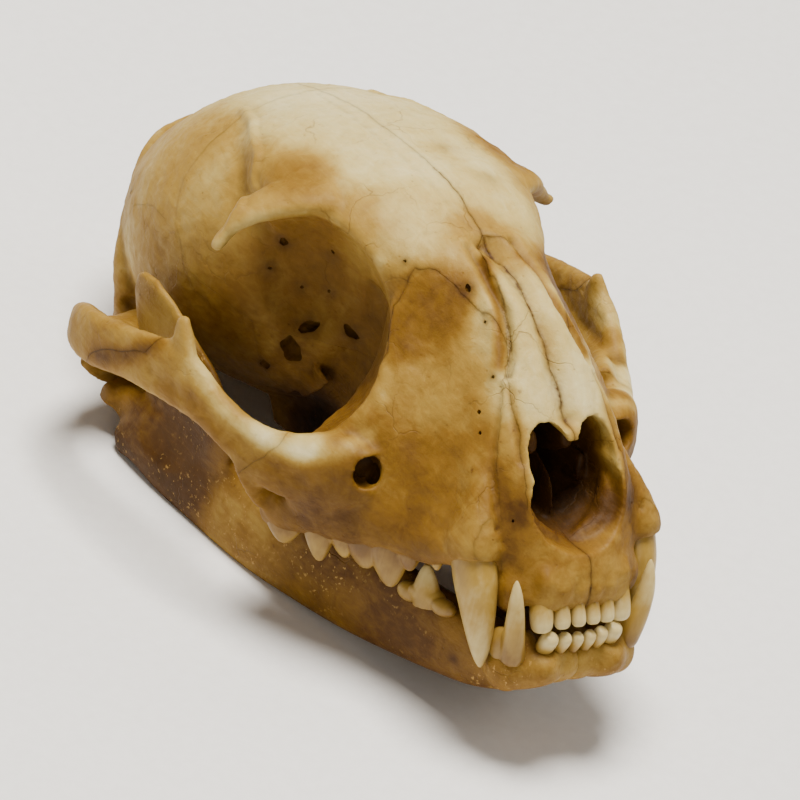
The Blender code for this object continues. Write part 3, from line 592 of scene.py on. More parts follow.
def roughCranium():
    whole = joined([*[trunk(rows) for rows in craniumForms.values()], hull(rostrumRows)], "cranium")
    fused(whole, skull["fusing"], 2)
    withForms(whole, paired([blob(*sizes) for sizes in orbits]), "DIFFERENCE")
    forms = paired([limb(rows, up=up, bend=bend) for rows, up, bend in craniumLimbs.values()])
    forms += paired([blob(*sizes) for sizes in swellings.values()])
    forms += [limb(browHorns["left"]), mirrored(limb(browHorns["right"])), limb(leftCheekFloor)]
    forms += paired([blob(*sizes) for sizes in sockets["upper"]])
    forms += [jugalTip(jugalHorn["left top"]), mirrored(jugalTip(jugalHorn["right top"]))]
    whole = fused(joined([reopened(whole), *forms], "cranium"), skull["fusing"], 3)
    cutters = [limb(noseCuts["middle"], sides=48), *paired([limb(noseCuts["side"])])]
    cutters += [blob(*sizes) for sizes in hollows.values()]
    cutters += paired([limb(jawSocket), *[blob(*sizes) for sizes in sideHollows.values()]])
    withForms(whole, cutters, "DIFFERENCE")
    inside = paired([limb(rows, up=way) for way, rows in noseScrolls])
    inside += paired([limb(rows, up=(0, 1, 0)) for rows in orbitSplinters])
    return fused(joined([reopened(whole), *inside, limb(septum)], "cranium"), skull["grain"], 5)


# Sutures: sheets that part the cranium, each wandering as much as the real one

def sideways(rows, x):
    return [(x, y, z) for y, z in rows]


def acrossMiddle(rows, z):
    half = [(x, y, z) for x, y in rows]
    return [(-x, y, z) for x, y, z in reversed(half) if x > 0] + half


def swept(path, way, depth):
    return path, [tuple(Vector(point) + Vector(way).normalized() * depth) for point in path]


def spanning(path):
    # from a path on the skull's left to the same on its right
    return path, [(-x, y, z) for x, y, z in path]


up, left = (0, 0, 1), (1, 0, 0)
sutures = {
    # name: two edges, whether it is on both sides, how dark it is
    "midlineFace": (*swept([(0, -6, -8), (0, 57.4, -8)], up, 70), False, 0.9),
    "midlineVault": (*swept([(0, 56, 19.3), (0, 119.2, 19.3)], up, 40), False, 0.4),
    "vaultFloor": (*spanning([(6.6, 21.4, 30.2), (7.9, 26.4, 31.4), (9.0, 30.4, 32.6), (11.0, 36.0, 33.4),
                              (11.0, 36.3, 20.0), (24, 36.8, 20), (24, 72.8, 20)]), False, 0),
    "vaultFloorRear": (*swept([(-14.8, 71.4, 20), (14.8, 71.4, 20)], (0, 1, 0), 45.6), False, 0),
    "palateRear": (*swept([(-24, 57, -8), (24, 57, -8)], up, 28.8), False, 0),
    "nasalFloor": (*spanning([(11.6, 0, 15.0), (10.6, 8, 16.0), (9.9, 12, 18.8), (9.5, 16, 23.8),
                              (8.8, 20, 28.4), (7.2, 23.6, 31.6), (5.7, 27, 34.5), (5.1, 30, 36),
                              (4.8, 34, 38), (3.4, 39.6, 39.5), (0.6, 44, 40.5)]), False, 0),
    "lambdoid": (*swept(sideways([(118.5, 60), (118.2, 46), (116.5, 36), (115, 26), (114.5, 16), (116, 9),
                                  (116.4, -9)], -40), left, 80), False, 0.3),
    "coronal": (*swept(sideways([(90, 60), (91.4, 47), (92.3, 40), (91.5, 35.5), (89.2, 31), (86.4, 25.5),
                                 (84.0, 22), (78.4, 19.2)], -36), left, 72), False, 0.25),
    "frontal": (*swept(acrossMiddle([(0, 42), (2.4, 39.6), (4.0, 33.4), (4.3, 29.5), (4.9, 26.6),
                                     (5.9, 22.9), (7.1, 26.8), (7.9, 30.4), (8.8, 34.2), (10.4, 38.6),
                                     (12.6, 41.6), (15.2, 42.4), (17.2, 40.2), (18.8, 38.0),
                                     (21.5, 38.2), (25, 40), (30, 50)], 19.0), up, 45), False, 0.7),
    "nasalSide": (*swept([(5.9, 25.0, 13), (6.9, 21.9, 13), (7.9, 19.9, 13), (8.7, 16.5, 13),
                          (9.1, 13.7, 13), (9.5, 10.8, 13), (10.0, 4.0, 13)], up, 40), True, 0.5),
    "incisive": (*swept(sideways([(22.2, 34.6), (21.2, 32.8), (20.1, 31), (17.5, 26), (16.5, 24.2)], 6.6),
                        left, 20), True, 0.4),
    "incisiveLow": (*swept(sideways([(17.1, 25.3), (15.3, 22), (13.9, 19), (12.4, 16), (9.7, 10.4),
                                     (8.2, 4.6), (7.4, -8)], -26), left, 52), False, 0.4),
    "squamosal": (*swept(sideways([(72, -9), (72, 20), (76, 22), (84, 24), (90, 30), (96, 31), (104, 28),
                                   (111, 21), (116.0, 15)], 13.2), left, 21), True, 0.15),
    "baseSide": (*swept([(14, 71.3, -9), (14, 117.4, -9)], up, 41.5), True, 0),
    "cheek": (*swept([(20.6, 46.2, 24), (23.6, 49.2, 13), (27.1, 54.2, 6), (28.1, 55.7, 2)],
                     (0.84, -0.54, 0), 20), True, 0.2),
    "arch": (*swept(sideways([(84.5, 9), (81.4, 13.1), (80, 14.7), (76.4, 16.6), (71.7, 18), (67.7, 19.6),
                              (66, 22.1), (65.4, 32)], 37), left, 14), True, 0.7),
}


def suture(name):
    path, other, both, dark = sutures[name]
    thick = skull["suture"] * (0.6 + 0.5 * dark)
    made = [sheet(path, other, thick)]
    if both:
        made.append(sheet([(-x, y, z) for x, y, z in path], [(-x, y, z) for x, y, z in other], thick))
    return made


bones = {
    # a point inside each, on the skull's left
    "nasal": (3.0, 25, 36),
    "premaxilla": (6.0, 4, 0.5),
    "maxilla": (20.0, 30, 10),
    "zygomatic": (41.0, 60, 16),
    "frontal": (10.0, 60, 45),
    "parietal": (12.0, 100, 42),
    "temporal": (22.0, 98, 15),
}
middleBones = {"occipital": (0.0, 120, 24), "cranial_base": (0.0, 90, 10)}
crumb = 200  # points, and a loose part with no more than that is no bone


def looseParts(made):
    # a list of vertex indices for each closed surface, by flooding along the edges
    mesh = made.data
    edges = np.empty(len(mesh.edges) * 2, np.int32)
    mesh.edges.foreach_get("vertices", edges)
    edges = edges.reshape(-1, 2)
    label = np.arange(len(mesh.vertices))
    while True:
        least = label.copy()
        np.minimum.at(least, edges[:, 0], label[edges[:, 1]])
        np.minimum.at(least, edges[:, 1], label[edges[:, 0]])
        least = least[least]
        if (least == label).all():
            return label
        label = least


# Sculpting the fused bone

strokes = {
    # name: pixels along it in the photo, height in mm, reach, whether the other side has it too
    "temporalLine": ([(216, 246), (226, 228), (240, 209), (255, 187), (258, 157), (253, 122), (244, 110)],
                     0.60, 1.5, True),
    "templeHollow": ([(222, 226), (236, 196), (243, 165), (240, 130)], -0.55, 3.0, True),
    "browHollow": ([(300, 200), (350, 222), (380, 262)], 0.25, 2.4, True),
    "internasal": ([(486, 240), (500, 252), (520, 278), (536, 306), (550, 341), (557, 369), (563, 395),
                    (569, 415)], -1.9, 3.4, False),
    "nasion": ([(478, 236), (492, 246)], -0.5, 3.6, False),
    "nasalEdge": ([(470, 246), (479, 262), (492, 290), (504, 312), (508, 335), (509, 355), (507, 374)],
                  -1.1, 1.7, True),
    "snoutStrip": ([(488, 300), (494, 330), (495, 356), (490, 384)], 0.3, 1.6, True),
    "nasalFoot": ([(509, 384), (512, 407), (517, 435), (522, 462)], -0.45, 1.2, True),
    "premaxillaEdge": ([(502, 388), (498, 411), (494, 441), (492, 470), (495, 500), (498, 530)],
                       -0.45, 1.2, True),
    "frontalMiddle": ([(318, 94), (360, 122), (400, 155), (440, 194), (470, 226)], -0.16, 1.2, False),
    "canineSwell": ([(478, 400), (470, 450), (472, 500), (478, 545)], 0.35, 3.4, True),
    "snoutHollow": ([(430, 350), (425, 400), (420, 440)], -0.5, 5.0, True),
    "archFace": ([(150, 372), (200, 408), (250, 452), (300, 482)], -0.22, 2.0, True),
}
pits = {
    # name: pixel in the photo, half width, half height and depth in mm, turn in degrees, both sides
    "infraorbital": ((364, 467), 1.9, 3.4, 1.0, -36, True),
    "infraorbitalMouth": ((376, 475), 2.8, 4.2, 0.7, -36, True),
    "orbitLarge": ((291, 350), 1.9, 2.6, 3.5, -20, True),
    "orbitSlot": ((309, 327), 1.9, 0.9, 2.4, 12, True),
    "orbitSlanted": ((351, 333), 0.8, 1.6, 2.0, 40, True),
    "orbitSmall": ((265, 364), 1.0, 0.9, 1.8, 0, True),
    "roofPit": ((284, 242), 0.75, 0.8, 1.2, 0, False),
    "sideHole": ((479, 412), 0.32, 0.42, 0.9, 0, False),
    "lowHole": ((480, 433), 0.28, 0.36, 0.8, 0, False),
    "sutureHole": ((468, 288), 0.5, 0.75, 1.0, 10, False),
    "speckA": ((405, 261), 0.28, 0.25, 0.5, 0, False),
    "speckB": ((485, 322), 0.24, 0.3, 0.5, 0, False),
    "speckC": ((493, 377), 0.3, 0.28, 0.5, 0, False),
    "premaxillaPit": ((513, 521), 0.22, 0.3, 0.6, 0, True),
    "vaultPit": ((131, 192), 0.5, 0.35, 0.6, 0, False),
    "roofSpeckA": ((270, 268), 0.35, 0.3, 0.6, 0, False),
    "roofSpeckB": ((333, 252), 0.3, 0.4, 0.6, 0, False),
    "roofSpeckC": ((302, 287), 0.35, 0.3, 0.6, 0, False),
    "roofSpeckD": ((329, 291), 0.3, 0.3, 0.6, 0, False),
}


def treeOf(made):
    bm = bmesh.new()
    bm.from_mesh(made.data)
    tree = BVHTree.FromBMesh(bm)
    bm.free()
    return tree


ripples = ((0.19, 0.20), (0.55, 0.13), (1.3, 0.06))  # waves to a mm, and mm
pitRoughness = 0.28                                  # of a pit's size


def rippled(points):
    # the low unevenness of any bone
    return np.array([sum(noise.noise(point * often) * high for often, high in ripples)
                     for point in map(Vector, points)])


def sculpted(whole):
    tree = treeOf(whole)
    points, normals = pointsOf(whole.data), pointsOf(whole.data, "normal")
    push = rippled(points)
    for pixels, height, reach, both in strokes.values():
        path = onSurface(tree, pixels)
        for side in bothSides(path) if both else [path]:
            far = toPath(points, side, reach)
            push += height * np.cos(np.minimum(far / reach, 1) * math.pi / 2) ** 2
    setPoints(whole.data, points + normals * push[:, None])
    return whole


def pitForms(whole):
    tree = treeOf(whole)
    up = toRow.inverted().to_3x3() @ cameraAxes()[1]
    forms = []
    for pixel, wide, high, depth, turn, both in pits.values():
        hit, normal = tree.ray_cast(*rayThrough(pixel))[:2]
        side = up.cross(normal).normalized()
        side.rotate(Matrix.Rotation(math.radians(turn), 3, normal))
        frameOf = Matrix((side, normal.cross(side), normal)).transposed().to_4x4()
        bm = bmesh.new()
        bmesh.ops.create_icosphere(bm, subdivisions=4, radius=1)
        for vert in bm.verts:
            own = Vector((*pixel, 0)) * 0.37  # so that no two pits are alike
            vert.co *= 1 + pitRoughness * noise.noise(vert.co * 1.3 + own)
        bmesh.ops.transform(bm, verts=bm.verts, matrix=Matrix.Translation(hit) @ frameOf
                            @ Matrix.Diagonal((wide, high, depth, 1)))
        forms += [bm, mirrored(bm)] if both else [bm]
    return forms


# What colours the bone, kept on its points

tonesAndShade = {
    # place on the left side or the middle: reach in mm, 0 for cream to 1 for dark brown
    # (7, 68, 1), on the plates under the eye socket, is darkest for painted shade; the pale places along the
    # cheek arch's upper rim, (32, 38.5, 14.2), (35, 45, 15.6) and (39.5, 57, 20), are painted highlight.
    # Partly painted light and shade: the top of the vault is paler; the sides, the undersides, the eye
    # sockets and the inside of the nose are darker, partly the bone's own brown and partly painted shade.
    (0, 84, 51): (17, 0.10), (6, 62, 50): (9, 0.12), (8, 50, 48): (6, 0.20),
    (20, 66, 48): (6, 0.60), (16, 53, 45): (5, 0.38), (29, 66, 43): (5, 0.40),
    (20, 78, 44): (5, 0.44), (21, 95, 40): (10, 0.41), (24, 105, 30): (10, 0.38),
    (26, 92, 22): (8, 0.42), (0, 118, 25): (14, 0.42), (0, 95, 0): (15, 0.62),
    (22, 98, 4): (8, 0.55), (4, 26, 38): (5, 0.18), (5, 17, 30): (5, 0.08),
    (7, 10, 20): (4, 0.14), (0, 42, 46): (4.5, 0.42), (12, 35, 37): (4, 0.71),
    (16, 37, 32): (4, 0.68), (16, 29, 25): (6, 0.42), (19, 24, 12): (6, 0.56),
    (15, 16, 15): (4, 0.46), (16, 11, 8): (4, 0.47), (9.5, 5, 5): (4, 0.60),
    (5.5, 2, 0): (3.5, 0.48), (11, 11, 20): (3.5, 0.40), (20, 26, 1): (5, 0.66),
    (0, 30, 0): (9, 0.75), (7, 68, 1): (6, 1.0), (29, 34, 6): (5, 0.66),
    (32, 38.5, 14.2): (1.8, 0.22), (35, 45, 15.6): (1.8, 0.24), (39.5, 57, 20): (3, 0.22),
    (41, 55, 14): (5, 0.55), (44, 74, 20.5): (5, 0.46), (45, 76, 13): (5, 0.50),
    (34, 92, 9): (7, 0.50), (18, 64, 38): (7, 0.64), (16, 67, 26): (8, 0.55),
    (20, 73, 18): (7, 0.58), (10, 56, 14): (7, 0.62), (10, 52, 26): (6, 0.56),
    (14, 45, 30): (5, 0.54), (5, 20, 14): (7, 0.90), (0, 40, 16): (9, 0.85),
    (7, 10.5, 9): (2.6, 0.80),
}
jawTonesAndShade = {
    # Partly painted shade: darker under the jaw's front, (17, 27, -17), and towards its back, (30, 80, -4),
    # as well as the bone's own brown.
    (10, 5, -10): (5, 0.50), (4, 1, -12): (4, 0.44), (8, 1, -16): (4, 0.60),
    (12, 20, -10): (6, 0.66), (17, 27, -17): (8, 0.78), (22, 45, -12): (8, 0.64),
    (27, 58, -11): (7, 0.48), (30, 80, -4): (9, 0.80), (31, 85, 16): (7, 0.46),
    (29, 94, -1): (5, 0.60),
}
marks = {
    # pixel in the photo: reach in mm, how dark
    # Painted shade: the marks on the pits and foramina darken these holes, and (245, 330) and (366, 380)
    # darken the inside of the eye socket.
    (284, 242): (1.5, 0.8), (270, 268): (1.6, 0.6), (333, 256): (1.6, 0.5), (302, 286): (1.3, 0.5),
    (329, 291): (1.6, 0.5), (405, 261): (0.8, 0.6), (485, 322): (0.8, 0.6), (493, 377): (0.9, 0.6),
    (445, 147): (2.0, 0.25), (488, 177): (2.2, 0.25), (131, 192): (1.0, 0.6), (245, 330): (6.0, 0.35),
    (291, 350): (3.0, 0.7), (309, 327): (2.2, 0.7), (351, 333): (1.8, 0.7), (265, 364): (1.6, 0.7),
    (366, 380): (3.5, 0.45), (367, 466): (4.0, 0.6), (468, 289): (1.6, 0.8), (345, 480): (4.0, 0.4),
    (250, 470): (6.0, 0.25), (620, 360): (1.6, 0.7), (513, 521): (1.5, 0.4), (100, 372): (4.0, 0.3),
}
jawMarks = {(430, 610): (1.4, 0.8), (409, 644): (0.9, 0.9), (453, 659): (1.3, 0.9), (528, 645): (2.0, 0.7),
            (508, 600): (2.5, 0.5), (250, 470): (4.0, 0.3), (195, 470): (5.0, 0.4)}
shades = {
    # name: pixels along it in the photo, reach in mm, how much darker, whether the other side has it too
    "snoutStrip": ([(484, 262), (494, 296), (500, 330), (500, 364)], 1.2, 0.38, True),
    "besideNose": ([(512, 392), (519, 435), (525, 474), (522, 520)], 1.2, 0.16, True),
    # orbitRim, orbitFront and browEdge, below zero, make the rims lighter: painted highlight where they catch
    # the light.
    "orbitRim": ([(206, 392), (232, 420), (262, 441), (300, 455), (338, 452), (368, 436)], 1.5, -0.22, True),
    "orbitFront": ([(382, 400), (389, 350), (388, 300), (380, 262)], 1.4, -0.10, True),
    "browEdge": ([(218, 246), (240, 228), (270, 215), (304, 212), (336, 222)], 1.2, -0.12, True),
    "temple": ([(228, 200), (244, 160), (240, 118)], 3.0, 0.08, True),
    "archSuture": ([(98, 356), (130, 355), (156, 345)], 1.6, 0.22, True),
    "snoutStain": ([(420, 450), (412, 490), (400, 520)], 4.0, 0.05, True),
    "canineFront": ([(505, 470), (508, 520), (510, 556)], 2.2, 0.16, True),
    "cheekStain": ([(300, 500), (330, 510), (360, 520)], 3.0, 0.06, True),
    "nasalBlush": ([(540, 330), (548, 360)], 1.6, 0.12, False),
    "crownStain": ([(440, 150), (470, 170), (490, 178)], 2.6, 0.10, False),
}


grimeAndShadeSizes = {
    "seam": 0.8,         # how dark dirt is in a seam, for one whose darkness is 1
    "seamFade": 0.2,     # mm over which it fades beside the seam
    "seamReach": 1.3,    # mm, with none beyond
    # the next two set the hollow measure, by which the material darkens the bone in hollows: painted shade
    # along with dirt
    "rounds": 14,        # of smoothing, for the surroundings that a point is set against
    "hollowDepth": 0.5,  # mm below them that counts as wholly hollow
}


def spread(points, places):
    # the values of the near places, blended
    total, weight = np.zeros(len(points)), np.full(len(points), 1e-9)
    folded = points.copy()
    folded[:, 0] = abs(folded[:, 0])
    for place, (reach, value) in places.items():
        near = (1 + ((folded - place) ** 2).sum(axis=1) / reach ** 2) ** -3
        total += near * value
        weight += near
    return total / weight


def hollowness(mesh):
    # how far each point lies below the middle of its surroundings, 1 for wholly hollow
    edges = np.empty(len(mesh.edges) * 2, np.int32)
    mesh.edges.foreach_get("vertices", edges)
    first, second = edges.reshape(-1, 2).T
    points, count = pointsOf(mesh), np.bincount(edges, minlength=len(mesh.vertices))[:, None]
    soft = points
    for _ in range(grimeAndShadeSizes["rounds"]):
        total = np.zeros_like(soft)
        np.add.at(total, first, soft[second])
        np.add.at(total, second, soft[first])
        soft = 0.5 * soft + 0.5 * total / np.maximum(count, 1)
    return ((soft - points) * pointsOf(mesh, "normal")).sum(axis=1) / grimeAndShadeSizes["hollowDepth"]


def keep(mesh, name, values):
    # on the points, for the materials
    layer = mesh.attributes.get(name) or mesh.attributes.new(name, "FLOAT", "POINT")
    layer.data.foreach_set("value", np.clip(values, 0, 1).astype(np.float32))


def seamTree():
    # the sutures that show, and how dark each of their faces is
    forms, dark = [], []
    for name in sutures:
        if sutures[name][3]:
            made = suture(name)
            forms += made
            dark += [sutures[name][3]] * sum(len(form.faces) for form in made)
    whole = joined(forms, "seams")
    tree = treeOf(whole)
    bpy.data.objects.remove(whole)
    return tree, dark


def shaded(points, tree):
    # how much darker the shades make each point
    change = np.zeros(len(points))
    for pixels, reach, darker, both in shades.values():
        path = onSurface(tree, pixels)
        for side in bothSides(path) if both else [path]:
            change += darker * np.exp(-(toPath(points, side, 3 * reach) / reach) ** 2)
    return change


def coloured(made, places, seams, markPoints, tree=None):
    # tone and stain on a piece that is still in skull millimetres, both partly painted light and shade
    mesh = made.data
    points = pointsOf(mesh)
    tone = spread(points, places) + (shaded(points, tree) if tree else 0)
    stainAndShade = np.zeros(len(points))
    if seams:
        near, dark = seams
        for index, point in enumerate(points):
            where, _, face, far = near.find_nearest(Vector(point), grimeAndShadeSizes["seamReach"])
            if where is not None:
                far = max(0, far - skull["suture"] / 2) / grimeAndShadeSizes["seamFade"]
                stainAndShade[index] = grimeAndShadeSizes["seam"] * dark[face] * math.exp(-far)
    # the marks, with painted shade in the pits and foramina among them
    for point, (reach, value) in markPoints:
        stainAndShade += value * np.exp(-((points - point) ** 2).sum(axis=1) / reach ** 2)
    keep(mesh, "tone", tone)
    keep(mesh, "stainAndShade", stainAndShade)


def partBones(whole):
    # one object for each bone of the cranium
    withForms(whole, [form for name in sutures for form in suture(name)], "DIFFERENCE")
    label = looseParts(whole)
    points = pointsOf(whole.data)
    wanted = dict(middleBones)
    for name, (x, y, z) in bones.items():
        wanted[f"{name}_left"] = (x, y, z)
        wanted[f"{name}_right"] = (-x, y, z)
    counted = zip(*np.unique(label, return_counts=True))
    sizes = {piece: count for piece, count in counted if count > crumb}
    print("cranium parted in", len(sizes), "pieces", sorted(sizes.values()))
    made, taken = {}, set()
    for name, probe in wanted.items():
        far = np.linalg.norm(points - np.array(probe), axis=1)
        far[~np.isin(label, list(sizes))] = 1e9
        piece = label[far.argmin()]
        bm = bmesh.new()
        bm.from_mesh(whole.data)
        bm.verts.ensure_lookup_table()
        bmesh.ops.delete(bm, geom=[bm.verts[int(k)] for k in np.nonzero(label != piece)[0]])
        made[name] = asObject(bm, name + "_bone")
        if (label == piece).sum() != sizes[piece] or piece in taken:
            print(name, "is the same piece as another")
        taken.add(piece)
    for piece in set(sizes) - taken:
        print("left over:", sizes[piece], points[label == piece].mean(axis=0).round(1))
    bpy.data.objects.remove(whole)
    return made


# The lower jaw

jawForms = {
    # rows of x, y, z, half thickness, half height; then up and bend
    "body": ([
        (3.4, 1.8, -12.2, 3.6, 2.2), (5.4, 4.2, -12.9, 4.9, 3.6), (7.4, 8.5, -13.8, 4.6, 4.9),
        (9.8, 14.0, -14.2, 3.9, 6.2), (12.0, 20.0, -14.1, 3.4, 6.8), (15.0, 30.0, -13.4, 3.3, 7.7),
        (18.0, 40.0, -12.5, 3.4, 8.2), (21.4, 50.0, -11.4, 3.2, 7.8), (24.6, 60.0, -9.6, 2.7, 7.8),
        (27.2, 70.0, -7.2, 2.2, 7.4), (29.4, 80.0, -5.2, 2.0, 6.6), (30.2, 86.5, -5.6, 1.9, 4.4),
        (30.6, 91.0, -7.4, 1.5, 2.2),
    ], (0, 0, 1), 2.4),
    "ramus": ([
        (26.9, 72.0, -9.0, 1.2, 5.0), (27.1, 73.0, -5.0, 1.8, 9.0), (27.6, 74.5, -1.0, 2.0, 12.6),
        (28.0, 77.0, 4.0, 1.9, 12.0), (28.4, 81.5, 10.0, 1.5, 9.6), (29.2, 85.0, 15.0, 1.3, 8.0),
        (30.0, 87.0, 19.0, 1.1, 6.2), (30.6, 87.6, 21.6, 0.9, 4.4), (30.8, 87.6, 23.0, 0.6, 2.6),
    ], (0, 1, 0), 2.4),
    "condyle": ([
        (21.0, 94.0, -0.6, 1.6, 1.6), (24.5, 94.4, -0.8, 2.4, 2.4), (29.0, 94.6, -0.8, 2.6, 2.6),
        (32.2, 94.6, -0.6, 1.7, 1.7),
    ], (0, 0, 1), 2),
    "neck": ([
        (29.0, 84.0, -3.0, 2.2, 4.5), (29.0, 90.0, -2.0, 2.0, 3.6), (29.0, 95.0, -1.0, 2.0, 2.4),
    ], (0, 0, 1), 2),
    "symphysis": ([
        (1.8, 6.0, -11.6, 3.6, 2.6), (2.0, 11.0, -11.4, 3.8, 3.0), (2.6, 17.0, -12.0, 3.8, 3.0),
        (3.6, 22.0, -13.0, 3.6, 2.8), (5.2, 26.0, -14.2, 2.6, 2.2),
    ], (0, 0, 1), 2),
    "chin": ([
        (2.0, 2.6, -11.6, 3.6, 1.9), (2.0, 3.8, -13.0, 3.6, 3.0), (2.0, 7.5, -15.0, 3.4, 3.0),
        (2.0, 12.5, -17.0, 2.8, 2.2),
    ], (0, -0.4, 1), 2),
}


canineSwelling = ((10.6, 6.6, -13.6), (3.1, 4.1, 4.2))
muscleHollow = ((34.5, 76.0, -0.5), (5.2, 13.0, 9.0), -8)
pastMiddle = ((-20, -20, -40), (skull["suture"] / 2, 40, 10))


def jawHalf():
    forms = [limb(rows, up=way, bend=bend) for rows, way, bend in jawForms.values()]
    forms += [blob(*sizes) for sizes in (canineSwelling, *sockets["lower"])]
    half = fused(joined(forms, "jaw"), skull["fusing"], 3)
    withForms(half, [blob(*muscleHollow)], "DIFFERENCE")
    fused(half, skull["grain"], 3)
    withForms(half, [block(*pastMiddle)], "DIFFERENCE")
    return half


# Teeth: cusps as cones through sizes on the way from base to tip

crowns = {
    "pointed": [(-0.2, 0.9), (0, 1.0), (0.25, 0.97), (0.55, 0.78), (0.85, 0.46), (1.0, 0.2)],
    "bead": [(-0.25, 0.78), (0, 0.86), (0.3, 0.97), (0.62, 1.0), (0.85, 0.9), (0.95, 0.7), (1.0, 0.42)],
    "fang": [(-0.1, 0.9), (0, 0.98), (0.2, 0.96), (0.4, 0.83), (0.6, 0.67), (0.8, 0.46), (0.93, 0.25),
             (1.0, 0.07)],
    "spike": [(-0.12, 1.0), (-0.05, 1.2), (0, 1.25), (0.14, 1.12), (0.35, 0.96), (0.6, 0.8), (0.8, 0.58),
              (0.93, 0.32), (1.0, 0.08)],
}
cheekRow, jawRow, rowTurn = (0.42, 0.91, 0), (0.34, 0.94, 0), -22  # ways along the rows, and degrees
teeth = {
    # name: profile, the way its length lies, cusps as base, tip, half thickness, half length, then lobes
    "upper_incisor_1": ("bead", left, [((1.4, 3.0, -1.2), (1.4, 0.9, -5.6), 1.4, 1.25)], []),
    "upper_incisor_2": ("bead", left, [((4.3, 3.3, -1.2), (4.3, 1.3, -5.8), 1.5, 1.4)], []),
    "upper_incisor_3": ("bead", left, [((7.5, 4.2, -0.4), (7.6, 2.3, -6.4), 2.0, 1.9)], []),
    "upper_canine": ("fang", (0, 1, 0), [((15.6, 12.2, 3.4), (14.4, 8.2, -14.0), 3.4, 4.2)], []),
    "upper_premolar_2": ("pointed", cheekRow, [((17.3, 19.8, 1.6), (17.0, 19.4, -1.6), 1.2, 1.5)], []),
    "upper_premolar_3": ("pointed", cheekRow, [((20.8, 27.8, 0.0), (20.1, 26.9, -7.2), 2.2, 3.7),
                                               ((19.4, 24.2, 0.4), (19.2, 23.6, -3.2), 1.7, 2.2),
                                               ((23.0, 31.8, 0.0), (22.4, 30.8, -5.4), 2.0, 3.6)],
                         []),
    "upper_premolar_4": ("pointed", cheekRow, [((24.8, 35.0, 0.0), (24.2, 34.4, -4.8), 1.9, 2.6),
                                               ((26.6, 39.0, -0.5), (26.2, 38.4, -6.8), 2.0, 2.8),
                                               ((29.0, 45.4, -1.0), (28.6, 45.6, -6.4), 1.7, 3.8)], []),
    "upper_molar_1": ("pointed", cheekRow, [((26.2, 51.2, 1.4), (26.2, 51.4, -1.6), 1.1, 1.4)], []),
    "lower_incisor_1": ("bead", left, [((1.2, 2.6, -10.2), (1.2, 0.7, -6.9), 1.2, 0.98)], []),
    "lower_incisor_2": ("bead", left, [((3.6, 3.0, -10.2), (3.5, 0.9, -6.8), 1.3, 1.15)], []),
    "lower_incisor_3": ("bead", left, [((6.3, 3.6, -10.4), (6.2, 1.3, -6.6), 1.5, 1.6)], []),
    "lower_canine": ("spike", (0, 1, 0), [((11.2, 4.7, -10.4), (13.1, 3.6, 3.1), 1.7, 1.9)],
                     [((12.3, 6.2, -9.4), (1.5, 2.5, 3.0))]),
    "lower_premolar_3": ("pointed", jawRow, [((15.7, 22.8, -8.4), (15.9, 23.4, -2.5), 1.6, 2.6)],
                         [((16.4, 26.3, -8.4), (1.4, 2.4, 1.7)), ((15.0, 19.0, -8.2), (1.4, 2.4, 1.5)),
                          ((15.7, 22.6, -7.6), (1.5, 3.6, 1.8))]),
    "lower_premolar_4": ("pointed", jawRow, [((15.4, 32.6, -8.0), (15.2, 32.8, -3.2), 1.5, 3.0),
                                             ((14.8, 29.4, -8.2), (14.6, 29.2, -6.4), 1.2, 1.5),
                                             ((16.8, 36.6, -8.0), (16.6, 36.8, -5.4), 1.4, 1.8)], []),
    "lower_molar_1": ("pointed", jawRow, [((18.4, 42.0, -7.4), (18.0, 41.6, -3.0), 1.6, 3.4),
                                          ((20.2, 47.6, -7.0), (19.8, 48.2, -2.4), 1.6, 3.6)], []),
}
# the bow of a canine's middle, in mm
fangBow = {"upper_canine": (0.3, -0.9, 0), "lower_canine": (0.4, -0.9, 0)}
toothTones = {
    # kind: tone where it meets the bone, tone at its tip
    "incisor": (0.78, 0.34), "upper_canine": (0.60, 0.47), "lower_canine": (0.72, 0.40),
    "upper_premolar": (0.80, 0.66), "lower_premolar": (0.66, 0.40), "molar": (0.80, 0.64),
}


toothGrain = {"canine": 0.24, "other": 0.17}  # mm between the points of a crown


def cusp(base, tip, thick, length, along, profile, bow=(0, 0, 0)):
    base, tip, rows = Vector(base), Vector(tip), []
    for t, size in profile:
        at = base.lerp(tip, t) + Vector(bow) * max(0, 4 * t * (1 - t))  # bowed most half way up
        rows.append((*at, thick * size, length * size))
    return limb(rows, up=along, spans=5, sides=40)


def tooth(name):
    profile, along, cusps, lobes = teeth[name]
    forms = [cusp(*sizes, along, crowns[profile], fangBow.get(name, (0, 0, 0))) for sizes in cusps]
    forms += [blob(*sizes, rowTurn) for sizes in lobes]
    made = fused(joined(forms, name), toothGrain["canine" if "canine" in name else "other"], 3)
    base, tip = (np.array(place, float) for place in cusps[0][:2])
    t = (pointsOf(made.data) - base) @ (tip - base) / ((tip - base) @ (tip - base))
    foot, end = next(pair for kind, pair in toothTones.items() if kind in name)
    keep(made.data, "tone", foot + (end - foot) * np.clip(t * 1.3, -0.2, 1))
    return made


solidsReach = np.array(cadBox) * 0.9999
sharpFrom = math.radians(62)


def placed(made):
    made.data.transform(toRow)
    setPoints(made.data, np.clip(pointsOf(made.data), *solidsReach))
    made.data.shade_smooth()
    made.data.set_sharp_from_angle(angle=sharpFrom)
    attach(made, "root")
    return made


# Materials

